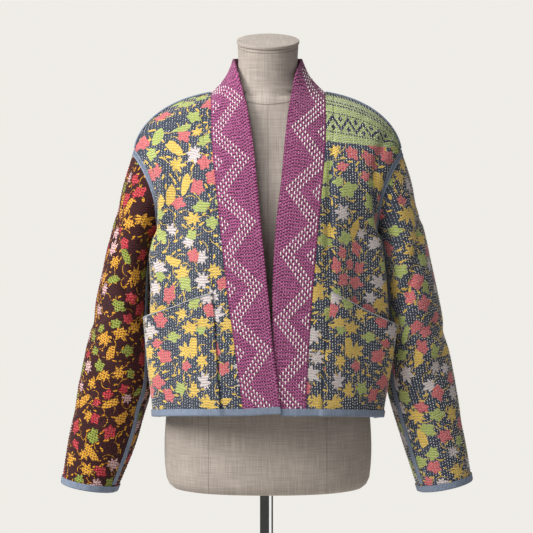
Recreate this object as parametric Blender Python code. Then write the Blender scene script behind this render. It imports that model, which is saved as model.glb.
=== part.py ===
"""Quilted patchwork kimono jacket worn by a linen dress form on a pole stand.

Units are metres, +Z is up and -Y is the front, so the wearer's right side is at -X.
The origin is the middle of the base plate's underside. Drops are measured down from
the neck points, where the shoulder seams meet the collar. A level runs from 0 at the
hem to 1 at the shoulder seam.
"""

import math
from collections import namedtuple

import bpy
import numpy as np

# Driving dimensions of the cloth
NECK_HEIGHT = 1.385
CLOTH = 0.0025
SEAM = 0.0003
MITRE_LIMIT = 3.0
ARMPIT_LEVEL = 0.6
HEM_LEVEL = 0.0205
BACK_NECK_LEVEL = 0.957
BACK_NECK_SHAPE = 0.8
BACK_MATCH_LEVEL = 0.75
MITRE_FLATNESS = 0.05
POCKET_AIR = 0.0007

# Widths and thickness of the binding tapes
TAPE = 0.0012
TAPE_AIR = 0.0006
CREASE_AIR = 0.0009
HEM_TAPE = 0.0105
CUFF_TAPE = 0.0100
ARMHOLE_TAPE = 0.0055
SHOULDER_TAPE = 0.0095
SEAM_TAPE = 0.0045

# Number of steps in each grid
LOW_ROWS = 10
ARM_ROWS = 10
STRIP_COLUMNS = 2
PANEL_COLUMNS = 11
NECK_COLUMNS = 4
BAND_COLUMNS = 4
SLEEVE_ROWS = 17
POCKET_ROWS = 6

# Dress form and stand
FORM_POINTS = 36
CAP_THICKNESS = 0.0055
CAP_ROUNDING = 0.0015
CAP_OVERHANG = 0.0015
NECK_TILT = math.radians(14)
POLE_RADIUS = 0.011
BASE_RADIUS = 0.175
BASE_THICKNESS = 0.010
BASE_BEVEL = 0.003
ROUND_SIDES = 48
REST_GAP = 0.0005
UNDER_GAP = 0.0055
RIDGE_HALF = 0.002
FORM_LEAN = 0.005
UNDER_COLLAR = (0.035, 0.070)
NECK_DIP = 0.0015
UNDER_CLOTH = 0.12
FORM_SHIFT = 0.0025
RIDGE_SPAN = (0.085, 0.190)
RIDGE_END = 0.999
NECK_DIP_SPAN = (0.125, 0.100)
ARM_END_ROOM = 0.02
CURVE_STEPS = 60

RIGHT, LEFT = -1, 1

# Each side of the body. Below the armpit its edge is the side seam, and above it the
# armhole, open by twice the gap. Square and fall shape a section's depth and its drop.
SideRow = namedtuple("SideRow", "level x drop y gap square fall front_bulge back_bulge")
SIDES = {
    RIGHT: (
        SideRow(0.00, 0.180, 0.538, 0.012, 0.000, 3.0, 3.0, 0.010, 0.008),
        SideRow(0.20, 0.172, 0.444, 0.012, 0.000, 3.0, 3.0, 0.026, 0.012),
        SideRow(0.40, 0.170, 0.352, 0.012, 0.000, 2.9, 2.9, 0.027, 0.012),
        SideRow(0.60, 0.175, 0.262, 0.008, 0.000, 2.7, 2.7, 0.016, 0.004),
        SideRow(0.63, 0.176, 0.248, 0.007, 0.020, 2.6, 2.6, 0.009, 0.001),
        SideRow(0.70, 0.177, 0.213, 0.003, 0.041, 2.5, 2.5, 0.004, 0.002),
        SideRow(0.80, 0.181, 0.165, 0.001, 0.059, 2.3, 2.3, 0.000, 0.000),
        SideRow(0.90, 0.198, 0.122, 0.002, 0.046, 2.3, 2.2, 0.000, 0.000),
        SideRow(0.95, 0.209, 0.105, 0.003, 0.027, 2.6, 2.0, 0.000, 0.000),
        SideRow(1.00, 0.219, 0.096, 0.005, 0.000, 2.7, 1.8, 0.000, 0.000),
    ),
    LEFT: (
        SideRow(0.00, 0.183, 0.540, 0.012, 0.000, 3.0, 3.0, 0.012, 0.008),
        SideRow(0.20, 0.180, 0.446, 0.012, 0.000, 3.0, 3.0, 0.028, 0.012),
        SideRow(0.40, 0.174, 0.354, 0.012, 0.000, 2.9, 2.9, 0.032, 0.012),
        SideRow(0.60, 0.177, 0.262, 0.008, 0.000, 2.7, 2.7, 0.015, 0.004),
        SideRow(0.63, 0.178, 0.247, 0.007, 0.020, 2.6, 2.6, 0.009, 0.001),
        SideRow(0.70, 0.180, 0.211, 0.003, 0.041, 2.5, 2.5, 0.004, 0.002),
        SideRow(0.80, 0.188, 0.160, 0.001, 0.059, 2.3, 2.3, 0.000, 0.000),
        SideRow(0.90, 0.204, 0.121, 0.002, 0.046, 2.3, 2.2, 0.000, 0.000),
        SideRow(0.95, 0.215, 0.105, 0.003, 0.027, 2.6, 2.0, 0.000, 0.000),
        SideRow(1.00, 0.223, 0.096, 0.005, 0.000, 2.9, 1.8, 0.000, 0.000),
    ),
}

# The middle of the front and of the back at each level
MidRow = namedtuple("MidRow", "level front_drop front_y back_drop back_y")
MIDDLE = (
    MidRow(0.00, 0.514, -0.150, 0.526, 0.126),
    MidRow(0.20, 0.414, -0.151, 0.426, 0.121),
    MidRow(0.40, 0.310, -0.147, 0.320, 0.118),
    MidRow(0.60, 0.208, -0.134, 0.214, 0.121),
    MidRow(0.70, 0.152, -0.120, 0.158, 0.121),
    MidRow(0.80, 0.098, -0.100, 0.104, 0.116),
    MidRow(0.90, 0.044, -0.070, 0.052, 0.102),
    MidRow(0.95, 0.008, -0.044, 0.020, 0.082),
    MidRow(1.00, -0.009, 0.005, -0.009, 0.005),
)

# Each front edge: the strip's outer seam, the collar's seam and the collar's free edge
BandRow = namedtuple("BandRow", "level strip_x seam_x free_x free_y free_drop")
BANDS = {
    RIGHT: (
        BandRow(0.00, 0.073, 0.037, -0.0235, -0.1535, 0.510),
        BandRow(0.20, 0.080, 0.050, -0.0110, -0.1545, 0.410),
        BandRow(0.40, 0.086, 0.064, -0.0010, -0.1490, 0.305),
        BandRow(0.60, 0.090, 0.075, 0.0100, -0.1330, 0.196),
        BandRow(0.70, 0.093, 0.081, 0.0160, -0.1170, 0.134),
        BandRow(0.80, 0.098, 0.086, 0.0230, -0.0960, 0.070),
        BandRow(0.90, 0.104, 0.090, 0.0350, -0.0650, 0.006),
        BandRow(0.95, 0.107, 0.091, 0.0460, -0.0380, -0.034),
        BandRow(1.00, 0.109, 0.091, 0.0545, 0.0030, -0.060),
    ),
    LEFT: (
        BandRow(0.00, 0.088, 0.0635, 0.0275, -0.1500, 0.514),
        BandRow(0.20, 0.094, 0.068, 0.0155, -0.1510, 0.410),
        BandRow(0.40, 0.104, 0.075, 0.0140, -0.1480, 0.306),
        BandRow(0.60, 0.104, 0.084, 0.0190, -0.1330, 0.196),
        BandRow(0.70, 0.104, 0.089, 0.0240, -0.1170, 0.134),
        BandRow(0.80, 0.106, 0.094, 0.0300, -0.0960, 0.070),
        BandRow(0.90, 0.109, 0.097, 0.0390, -0.0650, 0.006),
        BandRow(0.95, 0.110, 0.097, 0.0480, -0.0380, -0.034),
        BandRow(1.00, 0.111, 0.097, 0.0580, 0.0030, -0.060),
    ),
}
BACK_COLLAR_Y = 0.0635
BACK_COLLAR_DROP = -0.063
LAPEL_BOW = 0.0010
NECK_BOW = -0.0055
NECK_BOW_LEVEL = 0.85

# Each sleeve, from the armhole to the cuff, by its outer and its underarm line
SleeveRow = namedtuple("SleeveRow", "along outer_x outer_drop inner_x inner_drop mid_y depth")
SLEEVES = {
    RIGHT: (
        SleeveRow(0.00, 0.219, 0.096, 0.175, 0.262, 0.006, 0.062),
        SleeveRow(0.02, 0.2225, 0.102, 0.183, 0.265, 0.007, 0.063),
        SleeveRow(0.06, 0.229, 0.121, 0.190, 0.277, 0.008, 0.066),
        SleeveRow(0.15, 0.2465, 0.180, 0.194, 0.304, 0.010, 0.072),
        SleeveRow(0.35, 0.2765, 0.308, 0.194, 0.388, 0.012, 0.076),
        SleeveRow(0.60, 0.3055, 0.446, 0.194, 0.486, 0.006, 0.066),
        SleeveRow(0.80, 0.3270, 0.555, 0.220, 0.580, -0.002, 0.056),
        SleeveRow(1.00, 0.3415, 0.645, 0.252, 0.659, -0.010, 0.049),
    ),
    LEFT: (
        SleeveRow(0.00, 0.223, 0.096, 0.177, 0.262, 0.006, 0.062),
        SleeveRow(0.02, 0.2265, 0.102, 0.185, 0.265, 0.007, 0.063),
        SleeveRow(0.06, 0.2335, 0.121, 0.192, 0.277, 0.008, 0.066),
        SleeveRow(0.15, 0.2510, 0.180, 0.197, 0.304, 0.010, 0.072),
        SleeveRow(0.35, 0.2790, 0.300, 0.199, 0.388, 0.012, 0.076),
        SleeveRow(0.60, 0.3065, 0.434, 0.202, 0.484, 0.006, 0.066),
        SleeveRow(0.80, 0.3270, 0.548, 0.229, 0.578, -0.002, 0.056),
        SleeveRow(1.00, 0.3425, 0.641, 0.2555, 0.659, -0.010, 0.047),
    ),
}
ARMHOLE_EASE = 0.35
ARMHOLE_ROW = 0.02
CUFF_ROW = 0.026
SLEEVE_SEAM_TURN = 2

# Largest folds of the body: place across from the collar seam to the side seam,
# the levels they run between, their lean, half width and depth (hollow below zero)
Fold = namedtuple("Fold", "side face across low high lean width depth")
FOLDS = (
    Fold(LEFT, "front", 0.12, 0.30, 0.90, 0.00, 0.050, -0.0045),
    Fold(LEFT, "front", 0.74, 0.62, 1.02, 0.10, 0.070, -0.0060),
    Fold(LEFT, "front", 0.60, 0.45, 0.85, 0.10, 0.080, 0.0035),
    Fold(LEFT, "front", 0.45, -0.20, 0.30, 0.00, 0.110, 0.0030),
    Fold(RIGHT, "front", 0.70, 0.50, 0.95, 0.12, 0.070, 0.0050),
    Fold(RIGHT, "front", 0.50, 0.55, 0.90, 0.10, 0.070, -0.0035),
    Fold(RIGHT, "front", 0.35, -0.20, 0.25, 0.00, 0.110, -0.0030),
    Fold(RIGHT, "back", 0.45, 0.20, 0.85, -0.10, 0.090, 0.0050),
    Fold(RIGHT, "back", 0.78, 0.35, 0.95, -0.08, 0.070, -0.0055),
    Fold(LEFT, "back", 0.38, 0.15, 0.80, -0.06, 0.090, 0.0045),
    Fold(LEFT, "back", 0.74, 0.40, 0.95, -0.10, 0.070, -0.0055),
    Fold(LEFT, "back", 0.60, -0.20, 0.35, 0.05, 0.110, -0.0040),
)

# Largest folds of the sleeves: where they cross the outer line, their slant round
# the sleeve, half width along it, depth and the angle of their deepest place
SleeveFold = namedtuple("SleeveFold", "side along slant width depth angle")
SLEEVE_FOLDS = (
    SleeveFold(RIGHT, 0.26, 0.10, 0.035, -0.0050, 70),
    SleeveFold(RIGHT, 0.44, -0.08, 0.040, -0.0045, 30),
    SleeveFold(RIGHT, 0.62, 0.09, 0.040, -0.0040, 100),
    SleeveFold(RIGHT, 0.52, 0.10, 0.045, -0.0050, 250),
    SleeveFold(RIGHT, 0.80, -0.06, 0.040, -0.0030, 300),
    SleeveFold(LEFT, 0.24, 0.10, 0.035, -0.0050, 60),
    SleeveFold(LEFT, 0.41, -0.10, 0.040, -0.0045, 110),
    SleeveFold(LEFT, 0.58, 0.08, 0.040, -0.0045, 40),
    SleeveFold(LEFT, 0.47, -0.10, 0.045, -0.0050, 240),
    SleeveFold(LEFT, 0.74, 0.06, 0.040, -0.0030, 290),
)

# The folds fade out near the seams
FOLDS_END_ACROSS = 0.85
FOLDS_END_LEVEL = 0.93
SLEEVE_FOLDS_START = 0.10
SLEEVE_FOLDS_END = 0.92

# Each pocket's mouth, as levels at its inner and outer end, and how far it gapes
Pocket = namedtuple("Pocket", "inner_level outer_level gape")
POCKETS = {RIGHT: Pocket(0.390, 0.345, 0.0075), LEFT: Pocket(0.375, 0.290, 0.0100)}
POCKET_END = PANEL_COLUMNS - 1
POCKET_SEWN = 0.05
GAPE_RISE = 2.5
GAPE_SKEW = 1.6
GAPE_ROUND = 0.8

# The dress form below its shoulders, then its neck. Bend and taper shape the section:
# its depth at x is (1 - |x / half|^bend)^taper of the depth in the middle.
FormRow = namedtuple("FormRow", "drop half front back bend taper lean tilt")
TORSO = (
    FormRow(0.6560, 0.1500, 0.092, 0.096, 2.4, 0.42, 0.004, 0.0),
    FormRow(0.6540, 0.1590, 0.099, 0.103, 2.4, 0.42, 0.004, 0.0),
    FormRow(0.6480, 0.1660, 0.104, 0.108, 2.4, 0.42, 0.004, 0.0),
    FormRow(0.6380, 0.1705, 0.107, 0.111, 2.4, 0.42, 0.004, 0.0),
    FormRow(0.6200, 0.1725, 0.108, 0.112, 2.4, 0.42, 0.004, 0.0),
    FormRow(0.5550, 0.1725, 0.107, 0.112, 2.4, 0.42, 0.004, 0.0),
    FormRow(0.5000, 0.1660, 0.104, 0.106, 2.3, 0.43, 0.004, 0.0),
    FormRow(0.4400, 0.1520, 0.100, 0.094, 2.3, 0.44, 0.004, 0.0),
    FormRow(0.3850, 0.1390, 0.094, 0.082, 2.2, 0.45, 0.004, 0.0),
    FormRow(0.3300, 0.1370, 0.094, 0.078, 2.2, 0.46, 0.004, 0.0),
    FormRow(0.2700, 0.1440, 0.103, 0.082, 2.2, 0.46, 0.004, 0.0),
    FormRow(0.2150, 0.1520, 0.111, 0.088, 2.2, 0.46, 0.004, 0.0),
    FormRow(0.1600, 0.1580, 0.107, 0.092, 2.2, 0.47, 0.004, 0.0),
    FormRow(0.1100, 0.1660, 0.092, 0.090, 2.1, 0.50, 0.004, 0.0),
    FormRow(0.0800, 0.1720, 0.081, 0.084, 2.0, 0.54, 0.005, 0.0),
    FormRow(0.0550, 0.1740, 0.073, 0.074, 1.9, 0.60, 0.005, 0.0),
    FormRow(0.0380, 0.1715, 0.068, 0.067, 1.7, 0.68, 0.005, 0.0),
)
SHOULDER_STATIONS = (0.163, 0.152, 0.140, 0.127, 0.113, 0.100)
SHOULDER_FRONT = (0.066, 0.058)
SHOULDER_BACK = (0.065, 0.053)
SHOULDER_BEND = (1.5, 1.4)
SHOULDER_TAPER = (0.80, 0.78)
NECK = (
    FormRow(-0.0060, 0.0760, 0.056, 0.050, 1.6, 0.62, 0.004, 0.0),
    FormRow(-0.0140, 0.0620, 0.053, 0.049, 1.9, 0.52, 0.003, 0.1),
    FormRow(-0.0270, 0.0530, 0.051, 0.049, 2.0, 0.50, 0.001, 0.3),
    FormRow(-0.0520, 0.0495, 0.050, 0.050, 2.0, 0.50, -0.001, 0.7),
    FormRow(-0.0862, 0.0505, 0.051, 0.051, 2.0, 0.50, -0.003, 1.0),
)

# Colour, roughness and metallic value of each material
Finish = namedtuple("Finish", "colour roughness metallic")
FINISHES = {
    "navy_leaf_quilt": Finish((0.030, 0.036, 0.062), 0.85, 0.0),
    "maroon_leaf_quilt": Finish((0.040, 0.008, 0.010), 0.85, 0.0),
    "purple_quilt": Finish((0.180, 0.035, 0.130), 0.85, 0.0),
    "blue_tape": Finish((0.115, 0.170, 0.290), 0.80, 0.0),
    "linen_cover": Finish((0.330, 0.300, 0.260), 0.90, 0.0),
    "polished_steel": Finish((0.600, 0.600, 0.600), 0.18, 1.0),
}


def table_curve(table, column, level):
    """Reads a column of a table at any level, along a smooth curve through its rows."""
    levels = np.array([row[0] for row in table])
    values = np.array([getattr(row, column) for row in table])
    slopes = np.gradient(values, levels)
    at = np.clip(level, levels[0], levels[-1])
    low = np.clip(np.searchsorted(levels, at, side="right") - 1, 0, len(levels) - 2)
    step = levels[low + 1] - levels[low]
    u = (at - levels[low]) / step
    return (
        values[low] * (1 + 2 * u) * (1 - u) ** 2
        + slopes[low] * step * u * (1 - u) ** 2
        + values[low + 1] * u**2 * (3 - 2 * u)
        + slopes[low + 1] * step * u**2 * (u - 1)
    )


def smooth_step(low, high, value):
    """0 below low, 1 above high, and a smooth rise between them."""
    u = np.clip((value - low) / (high - low), 0, 1)
    return u * u * (3 - 2 * u)


def unit(vectors):
    """The vectors at length 1."""
    return vectors / np.maximum(np.linalg.norm(vectors, axis=-1, keepdims=True), 1e-12)


def body_point(side, face, phi, level):
    """A point of the body's middle surface. phi is 0 at the centre and 90 degrees at the edge."""
    table = SIDES[side]
    square = table_curve(table, "square", level)
    bulge = table_curve(table, f"{face}_bulge", level)
    gap = np.where(level > ARMPIT_LEVEL, table_curve(table, "gap", level), 0)
    edge_y = table_curve(table, "y", level) + (gap if face == "back" else -gap)
    mid_y = table_curve(MIDDLE, f"{face}_y", level)
    edge_drop = table_curve(table, "drop", level)
    mid_drop = table_curve(MIDDLE, f"{face}_drop", level)
    out = np.sign(phi) * np.abs(np.sin(phi)) ** (2 / square)
    inward = np.maximum(np.cos(phi), 0) ** (2 / square)
    swell = bulge * np.sin(np.clip(4 * phi - math.pi, 0, math.pi)) ** 2
    x = side * (table_curve(table, "x", level) * out + swell)
    y = edge_y + (mid_y - edge_y) * inward
    fall = table_curve(table, "fall", level)
    drop = edge_drop + (mid_drop - edge_drop) * np.maximum(np.cos(phi), 0) ** (2 / fall)
    return np.stack(np.broadcast_arrays(x, y, NECK_HEIGHT - drop), axis=-1)


def phi_at(side, x, level):
    """The angle at which a section reaches a distance x from the centre line."""
    square = table_curve(SIDES[side], "square", level)
    return np.arcsin(np.clip(x / table_curve(SIDES[side], "x", level), 0, 1) ** (square / 2))


def even_phi(side, face, level, first, last, steps):
    """Angles that divide a section between two angles into steps of equal length."""
    phi = np.linspace(first, last, 121)
    points = body_point(side, face, phi, level)
    run = np.concatenate([[0], np.cumsum(np.linalg.norm(np.diff(points, axis=0), axis=1))])
    return np.interp(np.linspace(0, run[-1], steps + 1), run, phi)


def levels_of_rows():
    """The level of each row of a panel: one is at the hem binding's edge, one at the armpit."""
    low = np.linspace(HEM_LEVEL, ARMPIT_LEVEL, LOW_ROWS)
    return np.concatenate([[0], low, np.linspace(ARMPIT_LEVEL, 1, ARM_ROWS + 1)[1:]])


def front_angles(side, level):
    """The angles of a front's columns at one level: the strip's, then the panel's."""
    seam = phi_at(side, table_curve(BANDS[side], "seam_x", level), level)
    strip = phi_at(side, table_curve(BANDS[side], "strip_x", level), level)
    inner = even_phi(side, "front", level, seam, strip, STRIP_COLUMNS)
    outer = even_phi(side, "front", level, strip, math.pi / 2, PANEL_COLUMNS)
    return np.concatenate([inner, outer[1:]])


def back_angles(side, level):
    """The angles of one half of the back at one level: the neck's columns, then those that
    meet the front's columns at the shoulder seam."""
    top = front_angles(side, 1.0)
    neck = phi_at(side, table_curve(BANDS[side], "seam_x", 1.0), level)
    columns = STRIP_COLUMNS + PANEL_COLUMNS
    outer = even_phi(side, "back", level, neck, math.pi / 2, columns)
    outer = outer + (top - outer) * smooth_step(BACK_MATCH_LEVEL, 1.0, level)
    inner = even_phi(side, "back", level, 0.0, outer[0], NECK_COLUMNS)
    return np.concatenate([inner, outer[1:]])


def fold_height(side, face, across, level):
    """How far the largest folds lift the cloth at a place of the body."""
    height = np.zeros(np.broadcast(across, level).shape)
    for fold in FOLDS:
        if (fold.side, fold.face) != (side, face):
            continue
        middle = (fold.low + fold.high) / 2
        half = (fold.high - fold.low) / 2
        line = fold.across + fold.lean * (level - middle)
        ridge = np.exp(-(((across - line) / fold.width) ** 2))
        fade = np.clip(1 - ((level - middle) / half) ** 2, 0, 1) ** 1.5
        height = height + fold.depth * ridge * fade
    return height * smooth_step(1.0, FOLDS_END_ACROSS, across) * smooth_step(1.0, FOLDS_END_LEVEL, level)


def grid_normals(grid, facing, closed=False):
    """Unit normals of a grid of points, rows first, turned to the side that facing names."""
    if closed:
        across = np.roll(grid, -1, axis=1) - np.roll(grid, 1, axis=1)
    else:
        across = np.gradient(grid, axis=1)
    return unit(np.cross(across, np.gradient(grid, axis=0))) * facing


def front_grid(side):
    """A front from the collar seam to the side seam, strip and panel together."""
    rows = levels_of_rows()
    phi = np.array([front_angles(side, level) for level in rows])
    grid = body_point(side, "front", phi, rows[:, None])
    across = np.linspace(0, 1, grid.shape[1])[None, :]
    height = fold_height(side, "front", across, rows[:, None])
    return grid + grid_normals(grid, side) * height[..., None]


def back_grid():
    """The whole back, from the wearer's right edge to the left, with its neckline cut."""
    rows = levels_of_rows()
    halves = []
    for side in (RIGHT, LEFT):
        columns = NECK_COLUMNS + STRIP_COLUMNS + PANEL_COLUMNS
        inside = np.clip(1 - np.arange(columns + 1) / NECK_COLUMNS, 0, 1)
        dip = (1 - BACK_NECK_LEVEL) * np.sin(inside * math.pi / 2) ** BACK_NECK_SHAPE
        level = rows[:, None] * (1 - dip[None, :] * smooth_step(ARMPIT_LEVEL, 1.0, rows[:, None]))
        phi = np.array([[back_angles(side, value)[column] for column, value in enumerate(line)]
                        for line in level])
        grid = body_point(side, "back", phi, level)
        across = np.linspace(0, 1, columns + 1)[None, :]
        height = fold_height(side, "back", across, level)
        halves.append(grid + grid_normals(grid, -side) * height[..., None])
    return np.concatenate([halves[0][:, ::-1], halves[1][:, 1:]], axis=1)


def sleeve_line(side, along):
    """The outer point, underarm point, middle depth and half depth of a sleeve's section."""
    table = SLEEVES[side]
    ends = []
    for edge in ("outer", "inner"):
        x = side * table_curve(table, f"{edge}_x", along)
        z = NECK_HEIGHT - table_curve(table, f"{edge}_drop", along)
        ends.append(np.stack([x, table_curve(table, "mid_y", along), z], axis=-1))
    return ends[0], ends[1], table_curve(table, "depth", along)


def sleeve_ring(side, along, angle):
    """Points of a sleeve's plain section. The angle is 0 on the outer line and 90 in front."""
    outer, inner, depth = sleeve_line(side, along)
    middle, reach = (outer + inner) / 2, (outer - inner) / 2
    front = np.zeros(np.broadcast(along, angle).shape + (3,))
    front[..., 1] = -depth * np.sin(angle)
    return middle + reach * np.cos(angle)[..., None] + front


def sleeve_grid(side, armhole):
    """A sleeve, ring by ring, from the armhole's own points to the cuff."""
    count = armhole.shape[0]
    angle = (np.arange(count) * 2 * math.pi / count)[None, :]
    along = np.linspace(ARMHOLE_ROW, 1 - CUFF_ROW, SLEEVE_ROWS - 1)
    along = np.concatenate([[0], along, [1]])[:, None]
    grid = sleeve_ring(side, along, angle)
    ease = np.clip(1 - along / ARMHOLE_EASE, 0, 1) ** 2
    grid = grid + (armhole - grid[0])[None] * ease[..., None]
    height = np.zeros(grid.shape[:2])
    for fold in SLEEVE_FOLDS:
        if fold.side == side:
            turn = angle - math.radians(fold.angle)
            line = fold.along + fold.slant * np.sin(turn)
            ridge = np.exp(-(((along - line) / fold.width) ** 2))
            height = height + fold.depth * ridge * np.clip(np.cos(turn), 0, 1) ** 0.5
    height = height * smooth_step(0.0, SLEEVE_FOLDS_START, along)
    height = height * smooth_step(1.0, SLEEVE_FOLDS_END, along)
    return grid + grid_normals(grid, side, closed=True) * height[..., None]


def band_grid(fronts, back):
    """The collar band from the right hem, round the neck, to the left hem. Its first column
    is the seam, taken from the panels' own points, and its last is the free edge."""
    rows = levels_of_rows()
    middle = back.shape[1] // 2
    neck = back[-1, middle - NECK_COLUMNS + 1 : middle + NECK_COLUMNS]
    seam = np.concatenate([fronts[RIGHT][:, 0], neck, fronts[LEFT][::-1, 0]])
    free = {}
    for side in (RIGHT, LEFT):
        x = side * table_curve(BANDS[side], "free_x", rows)
        y = table_curve(BANDS[side], "free_y", rows)
        drop = table_curve(BANDS[side], "free_drop", rows)
        free[side] = np.stack([x, y, NECK_HEIGHT - drop], axis=-1)
    start, end = free[RIGHT][-1], free[LEFT][-1]
    turn = np.linspace(0, math.pi, len(neck) + 2)[1:-1]
    half = (end[0] - start[0]) / 2
    x = (start[0] + end[0]) / 2 - half * np.cos(turn)
    y = start[1] + (BACK_COLLAR_Y - start[1]) * np.sin(turn)
    drop = -(start[2] - NECK_HEIGHT) + (BACK_COLLAR_DROP + start[2] - NECK_HEIGHT) * np.sin(turn)
    behind = np.stack([x, y, NECK_HEIGHT - drop], axis=-1)
    edge = np.concatenate([free[RIGHT], behind, free[LEFT][::-1]])
    share = np.linspace(0, 1, BAND_COLUMNS + 1)[None, :, None]
    grid = seam[:, None] * (1 - share) + edge[:, None] * share
    height = np.concatenate([rows, np.ones(len(neck)), rows[::-1]])[:, None]
    bow = LAPEL_BOW + (NECK_BOW - LAPEL_BOW) * smooth_step(NECK_BOW_LEVEL, 1.0, height)
    bow = bow * np.sin(share[..., 0] * math.pi)
    return grid + grid_normals(grid, 1) * bow[..., None]


def mitre(*places):
    """Gives places that share a seam one offset vector, so that their walls meet there. It is
    the shortest vector that reaches as far as each wall's own normal does."""
    facing = np.stack([unit(normals[index]) for normals, index in places])
    shared = np.linalg.pinv(facing, rcond=MITRE_FLATNESS) @ np.ones(len(facing))
    shared = shared * min(1, MITRE_LIMIT / np.linalg.norm(shared))
    for normals, index in places:
        normals[index] = shared


def trim(grid, edge):
    """Moves one edge of a grid back by the space that is left at a seam."""
    moved = grid.copy()
    if edge in ("first_row", "last_row"):
        here, inside = (0, 1) if edge == "first_row" else (-1, -2)
        moved[here] += SEAM * unit(grid[inside] - grid[here])
    else:
        here, inside = (0, 1) if edge == "first_column" else (-1, -2)
        moved[:, here] += SEAM * unit(grid[:, inside] - grid[:, here])
    return moved


def make_object(name, points, faces, material):
    """One named object from its points and faces, with its material."""
    mesh = bpy.data.meshes.new(name)
    mesh.from_pydata([tuple(map(float, point)) for point in points], [], faces)
    mesh.validate()
    mesh.materials.append(bpy.data.materials[material])
    made = bpy.data.objects.new(name, mesh)
    bpy.context.scene.collection.objects.link(made)
    return made


def edge_faces(points, first, second, inner):
    """Two triangles of a wall's edge, cut along the shorter diagonal as its neighbour's are."""
    third, fourth = second + inner, first + inner
    if np.linalg.norm(points[first] - points[third]) < np.linalg.norm(points[second] - points[fourth]):
        return [(first, second, third), (first, third, fourth)]
    return [(first, second, fourth), (second, third, fourth)]


def wall(name, grid, normals, material, thickness=CLOTH, ring_rows=False, ring_columns=False,
         mirrored=False):
    """A closed wall on a grid: its points moved out and in by half its thickness. Each cell
    is cut into two triangles, and in a mirrored wall both halves are cut alike."""
    rows, columns = grid.shape[:2]
    points = np.concatenate([(grid + normals * thickness / 2).reshape(-1, 3),
                             (grid - normals * thickness / 2).reshape(-1, 3)])
    inner = rows * columns
    faces = []

    def corner(row, column):
        return (row % rows) * columns + column % columns

    for row in range(rows if ring_rows else rows - 1):
        for column in range(columns if ring_columns else columns - 1):
            quad = (corner(row, column), corner(row, column + 1),
                    corner(row + 1, column + 1), corner(row + 1, column))
            if mirrored and column >= columns // 2:
                quad = quad[1:] + quad[:1]
            for half in ((quad[0], quad[1], quad[2]), (quad[0], quad[2], quad[3])):
                faces.append(half)
                faces.append(tuple(index + inner for index in reversed(half)))
    if not ring_rows:
        for column in range(columns if ring_columns else columns - 1):
            for row, ends in ((0, (column + 1, column)), (rows - 1, (column, column + 1))):
                first, second = corner(row, ends[0]), corner(row, ends[1])
                faces += edge_faces(points, first, second, inner)
    if not ring_columns:
        for row in range(rows if ring_rows else rows - 1):
            for column, ends in ((0, (row, row + 1)), (columns - 1, (row + 1, row))):
                first, second = corner(ends[0], column), corner(ends[1], column)
                faces += edge_faces(points, first, second, inner)
    made = make_object(name, points, faces, material)
    turn_outward(made)
    return made


def turn_outward(made):
    """Turns a closed mesh's faces outward if its signed volume is below zero."""
    mesh = made.data
    mesh.calc_loop_triangles()
    corners = np.array([[mesh.vertices[i].co for i in tri.vertices] for tri in mesh.loop_triangles])
    if np.linalg.det(corners - corners.mean(axis=(0, 1))).sum() < 0:
        mesh.flip_normals()


def along_rows(grid, normals, distance):
    """Points and normals a distance in from a grid's first row, on its own facets."""
    step = grid[1] - grid[0]
    share = (distance / np.linalg.norm(step, axis=-1))[..., None]
    return grid[0] + step * share, normals[0] + (normals[1] - normals[0]) * share


def edge_binding(name, grid, normals, width, lift, ring=False):
    """A tape folded over the first row of a grid. Lift is how far the cloth stands out on
    its outer side there, which is more over a pocket."""
    top, top_normals = along_rows(grid, normals, width)
    down = unit(grid[0] - grid[1])
    clear = TAPE_AIR + TAPE / 2
    outside = (CLOTH / 2 + clear + lift)[:, None]
    inside = CLOTH / 2 + clear
    below = grid[0] + down * clear
    points = np.stack([top + top_normals * outside, below + normals[0] * outside,
                       below - normals[0] * inside, top - top_normals * inside], axis=1)
    offsets = np.stack([top_normals, normals[0] + down, down - normals[0], -top_normals], axis=1)
    return wall(name, points, offsets, "blue_tape", TAPE, ring_rows=ring)


def flat_tape(name, lines, offsets, air=TAPE_AIR):
    """A tape that lies on the cloth along lines of points, each moved out by its normals."""
    lift = CLOTH / 2 + air + TAPE / 2
    points = np.stack([line + normal * lift for line, normal in zip(lines, offsets)], axis=1)
    return wall(name, points, np.stack(offsets, axis=1), "blue_tape", TAPE)


def side_name(side):
    """The wearer's side, in words."""
    return "right" if side == RIGHT else "left"


def pocket_grid(side, front, normals):
    """A patch pocket made from its panel's points, moved out, gaping at its mouth."""
    pocket = POCKETS[side]
    rows = levels_of_rows()
    panel = front[:, STRIP_COLUMNS : STRIP_COLUMNS + POCKET_END + 1]
    facing = normals[:, STRIP_COLUMNS : STRIP_COLUMNS + POCKET_END + 1]
    mouth = np.linspace(pocket.inner_level, pocket.outer_level, POCKET_END + 1)
    points, offsets = [], []
    for column, top in enumerate(mouth):
        level = np.concatenate([[0], np.linspace(HEM_LEVEL, top, POCKET_ROWS)])
        points.append(np.stack([np.interp(level, rows, panel[:, column, k]) for k in range(3)], -1))
        offsets.append(np.stack([np.interp(level, rows, facing[:, column, k]) for k in range(3)], -1))
    points, offsets = np.stack(points, axis=1), np.stack(offsets, axis=1)
    across = np.linspace(0, 1, POCKET_END + 1)[None, :]
    share = np.concatenate([[0], np.linspace(POCKET_SEWN, 1, POCKET_ROWS)])[:, None]
    gape = pocket.gape * share**GAPE_RISE * np.sin(math.pi * across**GAPE_SKEW) ** GAPE_ROUND
    lift = CLOTH + POCKET_AIR + gape
    return points + offsets * lift[..., None], offsets


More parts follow.
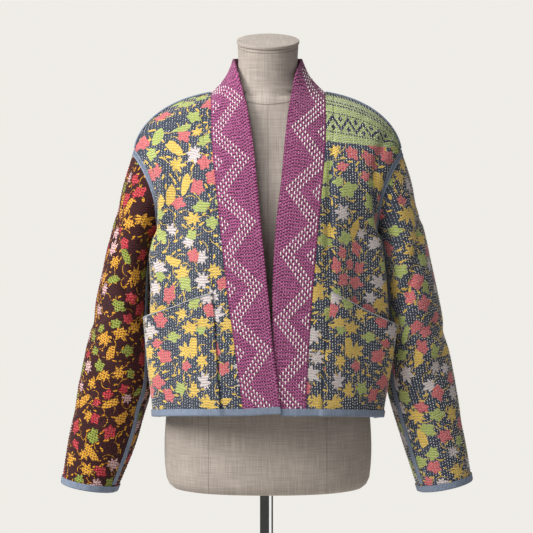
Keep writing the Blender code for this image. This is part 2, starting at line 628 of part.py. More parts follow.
def make_body():
    """The back, the fronts with their strips and pockets, the sleeves and the collar."""
    fronts = {side: front_grid(side) for side in (RIGHT, LEFT)}
    back = back_grid()
    top = LOW_ROWS + ARM_ROWS
    front_normals = {side: grid_normals(fronts[side], side) for side in fronts}
    back_normals = grid_normals(back, -1)
    band = band_grid(fronts, back)
    band_normals = grid_normals(band, 1)
    centre = back.shape[1] // 2
    sleeves, sleeve_normals = {}, {}
    for side in (RIGHT, LEFT):
        edge = 0 if side == RIGHT else -1
        front_edge = fronts[side][LOW_ROWS:, -1][::-1]
        back_edge = back[LOW_ROWS:, edge]
        armhole = np.concatenate([front_edge, back_edge[1:-1]])
        sleeves[side] = sleeve_grid(side, armhole)
        sleeve_normals[side] = grid_normals(sleeves[side], side, closed=True)
        share_seams(side, front_normals[side], back_normals, sleeve_normals[side], centre)
    for row in range(top + 1):
        mitre((front_normals[RIGHT], (row, 0)), (band_normals, (row, 0)))
        mitre((front_normals[LEFT], (row, 0)), (band_normals, (len(band) - 1 - row, 0)))
    for step in range(1, 2 * NECK_COLUMNS):
        mitre((back_normals, (-1, centre - NECK_COLUMNS + step)), (band_normals, (top + step, 0)))
    back_normals[-1, centre - NECK_COLUMNS] = front_normals[RIGHT][-1, 0]
    back_normals[-1, centre + NECK_COLUMNS] = front_normals[LEFT][-1, 0]

    trimmed = trim(trim(trim(back, "first_column"), "last_column"), "last_row")
    wall("back_panel", trimmed, back_normals, "navy_leaf_quilt", mirrored=True)
    wall("collar_band", trim(band, "first_column"), band_normals, "purple_quilt")
    for side in (RIGHT, LEFT):
        name = side_name(side)
        front, normals = fronts[side], front_normals[side]
        strip = slice(0, STRIP_COLUMNS + 1)
        panel = slice(STRIP_COLUMNS, None)
        cloth = "maroon_leaf_quilt" if side == RIGHT else "navy_leaf_quilt"
        wall(f"front_strip_{name}", front[:, strip], normals[:, strip], "navy_leaf_quilt")
        wall(f"front_panel_{name}", trim(front[:, panel], "first_column"), normals[:, panel],
             "navy_leaf_quilt")
        wall(f"sleeve_{name}", trim(sleeves[side], "first_row"), sleeve_normals[side], cloth,
             ring_columns=True)
        pocket, pocket_normals = pocket_grid(side, front, normals)
        wall(f"pocket_{name}", trim(pocket, "first_column"), pocket_normals, "navy_leaf_quilt")
        bind_front(side, front, normals, band, band_normals)
        bind_sleeve(side, sleeves[side], sleeve_normals[side], front, normals, back, back_normals)
    bind_back(back, back_normals)


def share_seams(side, front, back, sleeve, centre):
    """Mitres a side's seams: side seam, armhole and shoulder seam."""
    edge = 0 if side == RIGHT else -1
    ring = 2 * ARM_ROWS
    for row in range(LOW_ROWS):
        mitre((front, (row, -1)), (back, (row, edge)))
    mitre((front, (LOW_ROWS, -1)), (back, (LOW_ROWS, edge)), (sleeve, (0, ARM_ROWS)))
    mitre((front, (-1, -1)), (back, (-1, edge)), (sleeve, (0, 0)))
    for step in range(1, ARM_ROWS):
        mitre((front, (-1 - step, -1)), (sleeve, (0, step)))
        mitre((back, (-1 - step, edge)), (sleeve, (0, ring - step)))
    for column in range(STRIP_COLUMNS + PANEL_COLUMNS):
        mitre((front, (-1, column)), (back, (-1, centre + side * (NECK_COLUMNS + column))))


def bind_front(side, front, normals, band, band_normals):
    """The hem binding of one front, from the collar's free edge to the side seam."""
    name = side_name(side)
    ends = slice(0, 2) if side == RIGHT else slice(-1, -3, -1)
    grid = np.concatenate([band[ends][:, :0:-1], front[:2]], axis=1)
    facing = np.concatenate([band_normals[ends][:, :0:-1], normals[:2]], axis=1)
    lift = np.zeros(grid.shape[1])
    start = BAND_COLUMNS + STRIP_COLUMNS
    lift[start : start + POCKET_END + 1] = CLOTH + POCKET_AIR
    edge_binding(f"hem_binding_front_{name}", trim(grid, "last_column"), facing, HEM_TAPE, lift)


def bind_back(back, normals):
    """The back's hem binding, side seam to side seam."""
    grid = trim(trim(back[:2], "first_column"), "last_column")
    edge_binding("hem_binding_back", grid, normals[:2], HEM_TAPE, np.zeros(back.shape[1]))


def bind_sleeve(side, sleeve, sleeve_normals, front, normals, back, back_normals):
    """The tapes of one side: cuff, armhole, shoulder, side seam and sleeve seam."""
    name = side_name(side)
    edge = 0 if side == RIGHT else -1
    beside = 1 if side == RIGHT else -2
    cuff, cuff_normals = sleeve[::-1][:2], sleeve_normals[::-1][:2]
    edge_binding(f"cuff_binding_{name}", cuff, cuff_normals, CUFF_TAPE,
                 np.zeros(sleeve.shape[1]), ring=True)

    # The armhole tape runs round the seam, part on the body and part on the sleeve
    front_rows, back_rows = front[LOW_ROWS:][::-1], back[LOW_ROWS:][1:-1]
    seam = np.concatenate([front_rows[:, -1], back_rows[:, edge]])
    inner = np.concatenate([front_rows[:, -2], back_rows[:, beside]])
    inner_normals = np.concatenate([normals[LOW_ROWS:, -2][::-1],
                                    back_normals[LOW_ROWS:, beside][1:-1]])
    inner[ARM_ROWS] = front[LOW_ROWS - 1, -1]
    inner_normals[ARM_ROWS] = normals[LOW_ROWS - 1, -1]
    lines, offsets = [], []
    for towards, towards_normals in ((inner, inner_normals), (sleeve[1], sleeve_normals[1])):
        share = (ARMHOLE_TAPE / np.linalg.norm(towards - seam, axis=-1))[:, None]
        lines.append(seam + (towards - seam) * share)
        offsets.append(sleeve_normals[0] + (towards_normals - sleeve_normals[0]) * share)
    order = np.arange(ARM_ROWS + 1, 3 * ARM_ROWS) % (2 * ARM_ROWS)
    flat_tape(f"armhole_tape_{name}", [line[order] for line in (lines[0], seam, lines[1])],
              [offset[order] for offset in (offsets[0], sleeve_normals[0], offsets[1])])

    # The shoulder tape covers the seam from the collar to the armhole's tape
    lines, offsets = [], []
    seam_columns = slice(0, STRIP_COLUMNS + PANEL_COLUMNS + 1)
    centre = back.shape[1] // 2
    half = back[:, centre + side * NECK_COLUMNS :: side]
    half_normals = back_normals[:, centre + side * NECK_COLUMNS :: side]
    for grid, facing in ((front, normals), (half, half_normals)):
        line, line_normals = along_rows(grid[::-1, seam_columns], facing[::-1, seam_columns],
                                        SHOULDER_TAPE / 2)
        lines.append(shorten(line))
        offsets.append(line_normals)
    middle = shorten(front[-1, seam_columns])
    flat_tape(f"shoulder_tape_{name}", [lines[0], middle, lines[1]],
              [offsets[0], normals[-1, seam_columns], offsets[1]])

    # The sleeve seam's tape runs down the underarm, a little to the front, to the cuff's
    lines, offsets = [], []
    column = ARM_ROWS - SLEEVE_SEAM_TURN
    for beside in (column - 1, column, column + 1):
        step = sleeve[:, beside] - sleeve[:, column]
        length = np.maximum(np.linalg.norm(step, axis=-1), SEAM_TAPE)[:, None]
        share = np.where(beside == column, 0, SEAM_TAPE / length)
        lines.append(sleeve[:, column] + step * share)
        between = sleeve_normals[:, beside] - sleeve_normals[:, column]
        offsets.append(sleeve_normals[:, column] + between * share)
    lines = [line[1:-1] for line in lines]
    offsets = [offset[1:-1] for offset in offsets]
    flat_tape(f"sleeve_tape_{name}", lines, offsets, air=CREASE_AIR)


def shorten(line):
    """A line along the shoulder, cut back at the collar and at the armhole's tape."""
    cut = line.copy()
    cut[0] += unit(line[1] - line[0]) * SEAM
    cut[-1] += unit(line[-2] - line[-1]) * (ARMHOLE_TAPE + 2 * TAPE)
    return cut


def ridge_of_form():
    """Where the form's shoulder runs: under the jacket's shoulder seams, just clear of them."""
    half = np.linspace(*RIDGE_SPAN, CURVE_STEPS)
    drops = []
    for side in (RIGHT, LEFT):
        x = half + side * FORM_SHIFT
        drops.append(NECK_HEIGHT - body_point(side, "front", phi_at(side, x, 1.0), 1.0)[:, 2])
    drop = np.maximum(*drops)
    slope = np.gradient(drop, half)
    below = CLOTH / 2 + REST_GAP + NECK_DIP * smooth_step(*NECK_DIP_SPAN, half)
    length = np.sqrt(1 + slope**2)
    return half - slope / length * below, drop + below / length


def shoulder_rows():
    """The form's sections across its shoulders, from the arm ends in to the neck."""
    x, drop = ridge_of_form()
    rows = []
    for step, half in enumerate(SHOULDER_STATIONS):
        share = step / (len(SHOULDER_STATIONS) - 1)

        def mix(ends):
            return ends[0] + (ends[1] - ends[0]) * share

        rows.append(FormRow(float(np.interp(half, x, drop)), half, mix(SHOULDER_FRONT),
                            mix(SHOULDER_BACK), mix(SHOULDER_BEND), mix(SHOULDER_TAPER),
                            FORM_LEAN, 0.0))
    return tuple(rows)


def jacket_depth(face, x, drop):
    """How far forward or back the form may reach at each x, to stay inside the jacket."""
    level = np.linspace(BACK_MATCH_LEVEL, 1, CURVE_STEPS)
    widest = SHOULDER_STATIONS[0] + ARM_END_ROOM
    limits = []
    for place in x + FORM_SHIFT:
        side = RIGHT if place < 0 else LEFT
        points = body_point(side, face, phi_at(side, min(abs(place), widest), level), level)
        limits.append(np.interp(NECK_HEIGHT - drop + UNDER_GAP, points[:, 2], points[:, 1]))
    if face == "front":
        return np.minimum(np.array(limits) + UNDER_GAP, FORM_LEAN - RIDGE_HALF)
    return np.maximum(np.array(limits) - UNDER_GAP, FORM_LEAN + RIDGE_HALF)


def form_ring(row):
    """One section of the form, leaning and tilted as its row says."""
    angle = np.arange(FORM_POINTS) * 2 * math.pi / FORM_POINTS
    x = row.half * np.cos(angle)
    depth = np.where(np.sin(angle) < 0, row.front, row.back)
    narrow = np.clip(1 - np.abs(np.cos(angle)) ** row.bend, 0, 1) ** row.taper
    y = row.lean + np.sign(np.sin(angle)) * depth * narrow
    if row.drop < UNDER_CLOTH and row.half >= SHOULDER_STATIONS[-1]:
        inside = np.clip(y, *(jacket_depth(face, x, row.drop) for face in ("front", "back")))
        covered = smooth_step(*UNDER_COLLAR, np.abs(x)) * (np.abs(x) < RIDGE_END * row.half)
        y = y + (inside - y) * covered
    z = NECK_HEIGHT - row.drop + y * math.tan(NECK_TILT * row.tilt)
    return np.stack([x + FORM_SHIFT, y, z], axis=-1)


def loft(name, rings, material):
    """A closed solid through rings, with a flat face at each end."""
    count = len(rings[0])
    faces = [tuple(reversed(range(count)))]
    for ring in range(len(rings) - 1):
        for step in range(count):
            after = (step + 1) % count
            low, high = ring * count, (ring + 1) * count
            if step < count // 4 or count // 2 <= step < 3 * count // 4:
                faces.append((low + step, low + after, high + step))
                faces.append((low + after, high + after, high + step))
            else:
                faces.append((low + step, low + after, high + after))
                faces.append((low + step, high + after, high + step))
    faces.append(tuple(range((len(rings) - 1) * count, len(rings) * count)))
    made = make_object(name, np.concatenate(rings), faces, material)
    turn_outward(made)
    made.data.shade_smooth()
    made.data.set_sharp_from_angle(angle=math.radians(40))
    return made


def make_form():
    """The linen covered form with its neck, and the cap that closes the neck."""
    rows = TORSO + shoulder_rows() + NECK
    rings = [form_ring(row) for row in rows]
    loft("form_body", rings, "linen_cover")
    up = np.array([0, -math.sin(NECK_TILT), math.cos(NECK_TILT)])
    top = rings[-1]
    middle = top.mean(axis=0)
    heights = (SEAM, SEAM + CAP_ROUNDING, CAP_THICKNESS - CAP_ROUNDING, CAP_THICKNESS)
    insets = (CAP_ROUNDING, 0.0, 0.0, CAP_ROUNDING)
    insets = np.array(insets) - CAP_OVERHANG
    cap = [top + up * height - unit(top - middle) * inset for height, inset in zip(heights, insets)]
    loft("form_cap", cap, "linen_cover")


def make_stand():
    """The steel pole under the form and the round plate that it stands on."""
    bottom = NECK_HEIGHT - TORSO[0].drop
    low, high = BASE_THICKNESS + SEAM, bottom - SEAM
    bpy.ops.mesh.primitive_cylinder_add(vertices=ROUND_SIDES // 2, radius=POLE_RADIUS,
                                        depth=high - low, location=(0, 0, (low + high) / 2))
    pole = bpy.context.object
    pole.name = "stand_pole"
    bpy.ops.mesh.primitive_cylinder_add(vertices=ROUND_SIDES, radius=BASE_RADIUS,
                                        depth=BASE_THICKNESS, location=(0, 0, BASE_THICKNESS / 2))
    base = bpy.context.object
    base.name = "stand_base"
    bevel = base.modifiers.new("edge", "BEVEL")
    bevel.width = BASE_BEVEL
    bevel.segments = 2
    for made in (pole, base):
        made.data.materials.append(bpy.data.materials["polished_steel"])
        made.data.shade_smooth()
        made.data.set_sharp_from_angle(angle=math.radians(35))


def make_materials():
    """One material for each finish."""
    for name, finish in FINISHES.items():
        material = bpy.data.materials.new(name)
        material.use_nodes = True
        shader = material.node_tree.nodes["Principled BSDF"]
        shader.inputs["Base Color"].default_value = (*finish.colour, 1)
        shader.inputs["Roughness"].default_value = finish.roughness
        shader.inputs["Metallic"].default_value = finish.metallic


for old in list(bpy.data.objects):
    bpy.data.objects.remove(old)
make_materials()
make_body()
make_form()
make_stand()
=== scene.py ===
"""Looks of a quilted patchwork kimono jacket that hangs on a linen covered dress form.

Units are metres, +Z is up and -Y is the front, so the wearer's right side is at -X. Every
sheet of cloth is a grid of points: its rows run along the cloth and its columns across it.
Cloth coordinates are lengths on the cloth in metres, U across and V along, and the prints,
the quilting and the stitches all follow them.
"""

from __future__ import annotations

import logging
import math
from collections.abc import Callable
from dataclasses import dataclass, field
from enum import Enum
from typing import NamedTuple

import bpy
import numpy as np
from bpy.types import Material, Node, NodeSocket, NodeTree, Object
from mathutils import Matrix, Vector
from numpy import ndarray

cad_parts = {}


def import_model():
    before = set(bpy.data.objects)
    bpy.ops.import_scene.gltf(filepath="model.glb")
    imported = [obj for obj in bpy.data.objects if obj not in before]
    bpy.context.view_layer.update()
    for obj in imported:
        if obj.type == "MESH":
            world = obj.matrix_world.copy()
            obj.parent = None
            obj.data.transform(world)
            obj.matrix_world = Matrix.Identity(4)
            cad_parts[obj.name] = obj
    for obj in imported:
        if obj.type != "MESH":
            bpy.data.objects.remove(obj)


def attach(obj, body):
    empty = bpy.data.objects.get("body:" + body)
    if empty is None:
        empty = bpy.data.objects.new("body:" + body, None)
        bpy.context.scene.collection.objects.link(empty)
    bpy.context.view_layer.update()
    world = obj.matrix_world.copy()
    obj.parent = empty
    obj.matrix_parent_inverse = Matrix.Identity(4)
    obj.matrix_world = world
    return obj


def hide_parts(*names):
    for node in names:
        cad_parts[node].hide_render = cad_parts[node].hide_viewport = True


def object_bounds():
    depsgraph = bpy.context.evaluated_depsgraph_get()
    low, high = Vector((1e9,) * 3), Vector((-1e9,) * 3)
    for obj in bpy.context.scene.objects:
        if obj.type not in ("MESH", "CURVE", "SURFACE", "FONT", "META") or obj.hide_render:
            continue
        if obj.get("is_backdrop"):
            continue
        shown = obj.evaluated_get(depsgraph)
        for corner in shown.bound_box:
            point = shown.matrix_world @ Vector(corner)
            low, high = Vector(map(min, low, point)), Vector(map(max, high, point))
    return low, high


LOG = logging.getLogger("kimono_jacket")
BODY = "root"


class Side(Enum):
    """The wearer's two sides, by the sign of X."""

    RIGHT = -1
    LEFT = 1

    @property
    def word(self) -> str:
        """The side's name in words."""
        return self.name.lower()


class Face(Enum):
    """The two faces of the jacket's body."""

    FRONT = "front"
    BACK = "back"


class Run(Enum):
    """Which way the rows of running stitch go on a sheet of cloth."""

    ALONG = "along"
    ACROSS = "across"


class Edge(Enum):
    """The edges of a sheet, each by its own points and the ones beside them."""

    FIRST_ROW = (np.s_[0], np.s_[1])
    LAST_ROW = (np.s_[-1], np.s_[-2])
    FIRST_COLUMN = (np.s_[:, 0], np.s_[:, 1])
    LAST_COLUMN = (np.s_[:, -1], np.s_[:, -2])


# Tables of the jacket's form


class SideRow(NamedTuple):
    """The body's side at one level. Below the armpit it is the side seam, above the armhole."""

    level: float
    x: float
    drop: float
    y: float
    gap: float
    square: float
    fall: float
    front_bulge: float
    back_bulge: float


class MidRow(NamedTuple):
    """The middle of the front and of the back at one level."""

    level: float
    front_drop: float
    front_y: float
    back_drop: float
    back_y: float


class BandRow(NamedTuple):
    """A front edge at one level: the strip's outer seam, the collar's seam and free edge."""

    level: float
    strip_x: float
    seam_x: float
    free_x: float
    free_y: float
    free_drop: float


class SleeveRow(NamedTuple):
    """A sleeve's section: its outer point, its underarm point, and its depth."""

    along: float
    outer_x: float
    outer_drop: float
    inner_x: float
    inner_drop: float
    mid_y: float
    depth: float


class Fold(NamedTuple):
    """A large fold of the body, hollow where its depth is below zero."""

    across: float
    low: float
    high: float
    lean: float
    width: float
    depth: float


class SleeveFold(NamedTuple):
    """A large fold round part of a sleeve, deepest at its angle."""

    along: float
    slant: float
    width: float
    depth: float
    angle: float


class Crease(NamedTuple):
    """A soft crease by its middle on the cloth, its turn, length, half width and height."""

    u: float
    v: float
    turn: float
    length: float
    width: float
    height: float


class FormRow(NamedTuple):
    """A section of the dress form."""

    drop: float
    half: float
    front: float
    back: float
    bend: float
    taper: float
    lean: float
    tilt: float


def rows_of(kind: type, *values: tuple[float, ...]) -> tuple:
    """A table: one row of the given kind from each tuple of values."""
    return tuple(kind(*row) for row in values)


SIDES = {
    Side.RIGHT: rows_of(
        SideRow,
        (0, 0.18, 0.538, 0.012, 0, 3, 3, 0.01, 0.008),
        (0.2, 0.172, 0.444, 0.012, 0, 3, 3, 0.026, 0.012),
        (0.4, 0.17, 0.352, 0.012, 0, 2.9, 2.9, 0.027, 0.012),
        (0.6, 0.175, 0.262, 0.008, 0, 2.7, 2.7, 0.016, 0.004),
        (0.63, 0.176, 0.248, 0.007, 0.02, 2.6, 2.6, 0.009, 0.001),
        (0.7, 0.177, 0.213, 0.003, 0.041, 2.5, 2.5, 0.004, 0.002),
        (0.8, 0.181, 0.165, 0.001, 0.059, 2.3, 2.3, 0, 0),
        (0.9, 0.198, 0.122, 0.002, 0.046, 2.3, 2.2, 0, 0),
        (0.95, 0.209, 0.105, 0.003, 0.027, 2.6, 2, 0, 0),
        (1, 0.219, 0.096, 0.005, 0, 2.7, 1.8, 0, 0),
    ),
    Side.LEFT: rows_of(
        SideRow,
        (0, 0.183, 0.54, 0.012, 0, 3, 3, 0.012, 0.008),
        (0.2, 0.18, 0.446, 0.012, 0, 3, 3, 0.028, 0.012),
        (0.4, 0.174, 0.354, 0.012, 0, 2.9, 2.9, 0.032, 0.012),
        (0.6, 0.177, 0.262, 0.008, 0, 2.7, 2.7, 0.015, 0.004),
        (0.63, 0.178, 0.247, 0.007, 0.02, 2.6, 2.6, 0.009, 0.001),
        (0.7, 0.18, 0.211, 0.003, 0.041, 2.5, 2.5, 0.004, 0.002),
        (0.8, 0.188, 0.16, 0.001, 0.059, 2.3, 2.3, 0, 0),
        (0.9, 0.204, 0.121, 0.002, 0.046, 2.3, 2.2, 0, 0),
        (0.95, 0.215, 0.105, 0.003, 0.027, 2.6, 2, 0, 0),
        (1, 0.223, 0.096, 0.005, 0, 2.9, 1.8, 0, 0),
    ),
}

MIDDLE = rows_of(
    MidRow,
    (0, 0.514, -0.15, 0.526, 0.126), (0.2, 0.414, -0.151, 0.426, 0.121),
    (0.4, 0.31, -0.147, 0.32, 0.118), (0.6, 0.208, -0.134, 0.214, 0.121),
    (0.7, 0.152, -0.12, 0.158, 0.121), (0.8, 0.098, -0.1, 0.104, 0.116),
    (0.9, 0.044, -0.07, 0.052, 0.102), (0.95, 0.008, -0.044, 0.02, 0.082),
    (1, -0.009, 0.005, -0.009, 0.005),
)

BANDS = {
    Side.RIGHT: rows_of(
        BandRow,
        (0, 0.073, 0.037, -0.0235, -0.1535, 0.51), (0.2, 0.08, 0.05, -0.011, -0.1545, 0.41),
        (0.4, 0.086, 0.064, -0.001, -0.149, 0.305), (0.6, 0.09, 0.075, 0.01, -0.133, 0.196),
        (0.7, 0.093, 0.081, 0.016, -0.117, 0.134), (0.8, 0.098, 0.086, 0.023, -0.096, 0.07),
        (0.9, 0.104, 0.09, 0.035, -0.065, 0.006), (0.95, 0.107, 0.091, 0.046, -0.038, -0.034),
        (1, 0.109, 0.091, 0.0545, 0.003, -0.06),
    ),
    Side.LEFT: rows_of(
        BandRow,
        (0, 0.088, 0.0635, 0.0232, -0.15, 0.514), (0.2, 0.094, 0.068, 0.012, -0.151, 0.41),
        (0.4, 0.104, 0.075, 0.01, -0.148, 0.306), (0.6, 0.104, 0.084, 0.0165, -0.133, 0.196),
        (0.7, 0.104, 0.089, 0.024, -0.117, 0.134), (0.8, 0.106, 0.094, 0.03, -0.096, 0.07),
        (0.9, 0.109, 0.097, 0.039, -0.065, 0.006), (0.95, 0.11, 0.097, 0.048, -0.038, -0.034),
        (1, 0.111, 0.097, 0.058, 0.003, -0.06),
    ),
}

SLEEVES = {
    Side.RIGHT: rows_of(
        SleeveRow,
        (0, 0.219, 0.096, 0.175, 0.262, 0.006, 0.062),
        (0.02, 0.2225, 0.102, 0.183, 0.265, 0.007, 0.063),
        (0.06, 0.229, 0.121, 0.19, 0.277, 0.008, 0.066),
        (0.15, 0.2465, 0.18, 0.194, 0.304, 0.01, 0.072),
        (0.35, 0.2765, 0.308, 0.194, 0.388, 0.012, 0.076),
        (0.6, 0.3055, 0.446, 0.194, 0.486, 0.006, 0.066),
        (0.8, 0.327, 0.555, 0.22, 0.58, -0.002, 0.056),
        (1, 0.3415, 0.645, 0.252, 0.659, -0.01, 0.049),
    ),
    Side.LEFT: rows_of(
        SleeveRow,
        (0, 0.223, 0.096, 0.177, 0.262, 0.006, 0.062), (0.02, 0.2265, 0.102, 0.185, 0.265, 0.007, 0.063),
        (0.06, 0.2335, 0.121, 0.192, 0.277, 0.008, 0.066), (0.15, 0.251, 0.18, 0.197, 0.304, 0.01, 0.072),
        (0.35, 0.279, 0.3, 0.199, 0.388, 0.012, 0.076), (0.6, 0.3065, 0.434, 0.202, 0.484, 0.006, 0.066),
        (0.8, 0.327, 0.548, 0.229, 0.578, -0.002, 0.056), (1, 0.3425, 0.641, 0.2555, 0.659, -0.01, 0.047),
    ),
}

FOLDS = {
    (Side.LEFT, Face.FRONT): rows_of(
        Fold,
        (0.12, 0.3, 0.9, 0, 0.05, -0.0045), (0.74, 0.62, 1.02, 0.1, 0.07, -0.006),
        (0.6, 0.45, 0.85, 0.1, 0.08, 0.0035), (0.45, -0.2, 0.3, 0, 0.11, 0.003),
    ),
    (Side.RIGHT, Face.FRONT): rows_of(
        Fold,
        (0.7, 0.5, 0.95, 0.12, 0.07, 0.005), (0.5, 0.55, 0.9, 0.1, 0.07, -0.0035),
        (0.35, -0.2, 0.25, 0, 0.11, -0.003),
    ),
    (Side.RIGHT, Face.BACK): rows_of(
        Fold,
        (0.45, 0.2, 0.85, -0.1, 0.09, 0.005), (0.78, 0.35, 0.95, -0.08, 0.07, -0.0055),
    ),
    (Side.LEFT, Face.BACK): rows_of(
        Fold,
        (0.38, 0.15, 0.8, -0.06, 0.09, 0.0045), (0.74, 0.4, 0.95, -0.1, 0.07, -0.0055),
        (0.6, -0.2, 0.35, 0.05, 0.11, -0.004),
    ),
}

SLEEVE_FOLDS = {
    Side.RIGHT: rows_of(
        SleeveFold,
        (0.26, 0.1, 0.035, -0.005, 70), (0.44, -0.08, 0.04, -0.0045, 30), (0.62, 0.09, 0.04, -0.004, 100),
        (0.52, 0.1, 0.045, -0.005, 250), (0.8, -0.06, 0.04, -0.003, 300),
    ),
    Side.LEFT: rows_of(
        SleeveFold,
        (0.24, 0.1, 0.035, -0.005, 60), (0.41, -0.1, 0.04, -0.0045, 110), (0.58, 0.08, 0.04, -0.0045, 40),
        (0.47, -0.1, 0.045, -0.005, 240), (0.74, 0.06, 0.04, -0.003, 290),
    ),
}

# Creases of each piece, on its own cloth coordinates
CREASES = {
    "front_right": rows_of(
        Crease,
        (-0.045, 0.43, 66, 0.16, 0.009, -0.0028), (-0.075, 0.38, 70, 0.12, 0.009, 0.0018),
        (-0.03, 0.3, 78, 0.11, 0.007, -0.0016), (-0.11, 0.3, 8, 0.09, 0.007, -0.0014),
        (-0.06, 0.24, -12, 0.1, 0.008, 0.0015), (-0.025, 0.215, -25, 0.07, 0.006, -0.0013),
        (-0.1, 0.47, 100, 0.08, 0.008, -0.0014),
    ),
    "front_left": rows_of(
        Crease,
        (-0.042, 0.44, 106, 0.19, 0.01, -0.0044), (-0.068, 0.41, 100, 0.16, 0.01, 0.0028),
        (-0.095, 0.44, 96, 0.12, 0.007, -0.0018), (-0.024, 0.33, 118, 0.11, 0.007, -0.0018),
        (-0.08, 0.27, 12, 0.1, 0.008, 0.0015), (-0.05, 0.235, 24, 0.08, 0.007, -0.0015),
        (-0.12, 0.5, 86, 0.07, 0.006, -0.0012),
    ),
    "pocket_right": rows_of(
        Crease,
        (0.06, 0.15, 10, 0.12, 0.006, 0.0013), (0.09, 0.105, -8, 0.11, 0.006, -0.0013),
        (0.05, 0.07, 4, 0.09, 0.005, 0.001), (0.11, 0.045, 14, 0.07, 0.005, -0.001),
    ),
    "pocket_left": rows_of(
        Crease,
        (0.07, 0.15, -14, 0.12, 0.006, 0.0014), (0.05, 0.11, -4, 0.11, 0.006, -0.0014),
        (0.09, 0.075, 8, 0.1, 0.005, 0.0011), (0.04, 0.04, -10, 0.08, 0.005, -0.001),
    ),
    "back": rows_of(
        Crease,
        (-0.15, 0.41, 66, 0.17, 0.01, -0.0026), (-0.12, 0.33, 74, 0.15, 0.011, 0.002),
        (0.155, 0.4, 112, 0.16, 0.01, -0.0026), (0.118, 0.33, 105, 0.14, 0.011, 0.0021),
        (-0.04, 0.48, 172, 0.12, 0.009, -0.0016), (0.06, 0.47, 10, 0.11, 0.009, -0.0015),
        (-0.06, 0.18, 96, 0.16, 0.012, 0.002), (0.05, 0.14, 82, 0.15, 0.012, -0.0018),
        (0.13, 0.16, 88, 0.12, 0.01, 0.0018), (-0.14, 0.15, 94, 0.13, 0.01, -0.0018),
        (0, 0.3, 4, 0.16, 0.009, -0.0012),
    ),
    "sleeve_right": rows_of(
        Crease,
        (0.06, 0.06, 30, 0.12, 0.008, -0.0022), (0.02, 0.12, -24, 0.13, 0.009, -0.0024),
        (0.09, 0.155, 34, 0.11, 0.008, 0.0018), (0.05, 0.205, 22, 0.14, 0.008, -0.0026),
        (0.085, 0.25, -18, 0.11, 0.008, 0.0018), (0.03, 0.29, -28, 0.12, 0.008, -0.002),
        (0.08, 0.34, 26, 0.1, 0.007, -0.0018), (0.03, 0.395, 14, 0.1, 0.007, 0.0014),
        (0.07, 0.45, -16, 0.09, 0.007, -0.0014), (-0.06, 0.13, 24, 0.12, 0.009, -0.0022),
        (-0.08, 0.22, -20, 0.13, 0.009, -0.0024), (-0.04, 0.31, 18, 0.12, 0.008, 0.0018),
        (-0.07, 0.4, -14, 0.1, 0.008, -0.0016),
    ),
    "sleeve_left": rows_of(
        Crease,
        (-0.06, 0.06, -30, 0.12, 0.008, -0.0022), (-0.03, 0.115, 26, 0.13, 0.009, -0.0024),
        (-0.085, 0.165, -30, 0.11, 0.008, 0.0018), (-0.05, 0.215, -20, 0.14, 0.008, -0.0026),
        (-0.09, 0.262, 20, 0.11, 0.008, 0.0018), (-0.035, 0.3, 26, 0.12, 0.008, -0.002),
        (-0.075, 0.35, -24, 0.1, 0.007, -0.0018), (-0.04, 0.405, -12, 0.1, 0.007, 0.0014),
        (-0.065, 0.46, 18, 0.09, 0.007, -0.0014), (0.06, 0.125, -22, 0.12, 0.009, -0.0022),
        (0.08, 0.23, 18, 0.13, 0.009, -0.0024), (0.045, 0.32, -16, 0.12, 0.008, 0.0018),
        (0.07, 0.41, 14, 0.1, 0.008, -0.0016),
    ),
    "collar": rows_of(
        Crease,
        (0.035, 0.3, 96, 0.2, 0.014, 0.001), (0.03, 0.96, 86, 0.2, 0.014, 0.001),
        (0.045, 0.555, 20, 0.06, 0.008, -0.001), (0.045, 0.8, -20, 0.06, 0.008, -0.001),
    ),
}

TORSO = rows_of(
    FormRow,
    (0.656, 0.15, 0.092, 0.096, 2.4, 0.42, 0.004, 0), (0.654, 0.159, 0.099, 0.103, 2.4, 0.42, 0.004, 0),
    (0.648, 0.166, 0.104, 0.108, 2.4, 0.42, 0.004, 0), (0.638, 0.1705, 0.107, 0.111, 2.4, 0.42, 0.004, 0),
    (0.62, 0.1725, 0.108, 0.112, 2.4, 0.42, 0.004, 0), (0.555, 0.1725, 0.107, 0.112, 2.4, 0.42, 0.004, 0),
    (0.5, 0.166, 0.104, 0.106, 2.3, 0.43, 0.004, 0), (0.44, 0.152, 0.1, 0.094, 2.3, 0.44, 0.004, 0),
    (0.385, 0.139, 0.094, 0.082, 2.2, 0.45, 0.004, 0), (0.33, 0.137, 0.094, 0.078, 2.2, 0.46, 0.004, 0),
    (0.27, 0.144, 0.103, 0.082, 2.2, 0.46, 0.004, 0), (0.215, 0.152, 0.111, 0.088, 2.2, 0.46, 0.004, 0),
    (0.16, 0.158, 0.107, 0.092, 2.2, 0.47, 0.004, 0), (0.11, 0.166, 0.092, 0.09, 2.1, 0.5, 0.004, 0),
    (0.08, 0.172, 0.081, 0.084, 2, 0.54, 0.005, 0), (0.055, 0.174, 0.073, 0.074, 1.9, 0.6, 0.005, 0),
    (0.038, 0.1715, 0.068, 0.067, 1.7, 0.68, 0.005, 0),
)

NECK = rows_of(
    FormRow,
    (-0.006, 0.076, 0.056, 0.05, 1.6, 0.62, 0.004, 0),
    (-0.014, 0.062, 0.053, 0.049, 1.9, 0.52, 0.003, 0.1),
    (-0.027, 0.053, 0.051, 0.049, 2, 0.5, 0.001, 0.3),
    (-0.052, 0.0495, 0.05, 0.05, 2, 0.5, -0.001, 0.7),
    (-0.0862, 0.0505, 0.051, 0.051, 2, 0.5, -0.003, 1),
)


# Array helpers

# The stitches of neighbouring rows line up in waves: shares of a stitch, lengths and starts
WAVES = ((0.90, 0.110, 0.0), (0.36, 0.047, 1.3), (0.10, 0.019, 4.0))


TURN = 2 * math.pi

# Rows of a sheet, from its edge, that a tape's lines are looked for in
EDGE_ROWS = 12


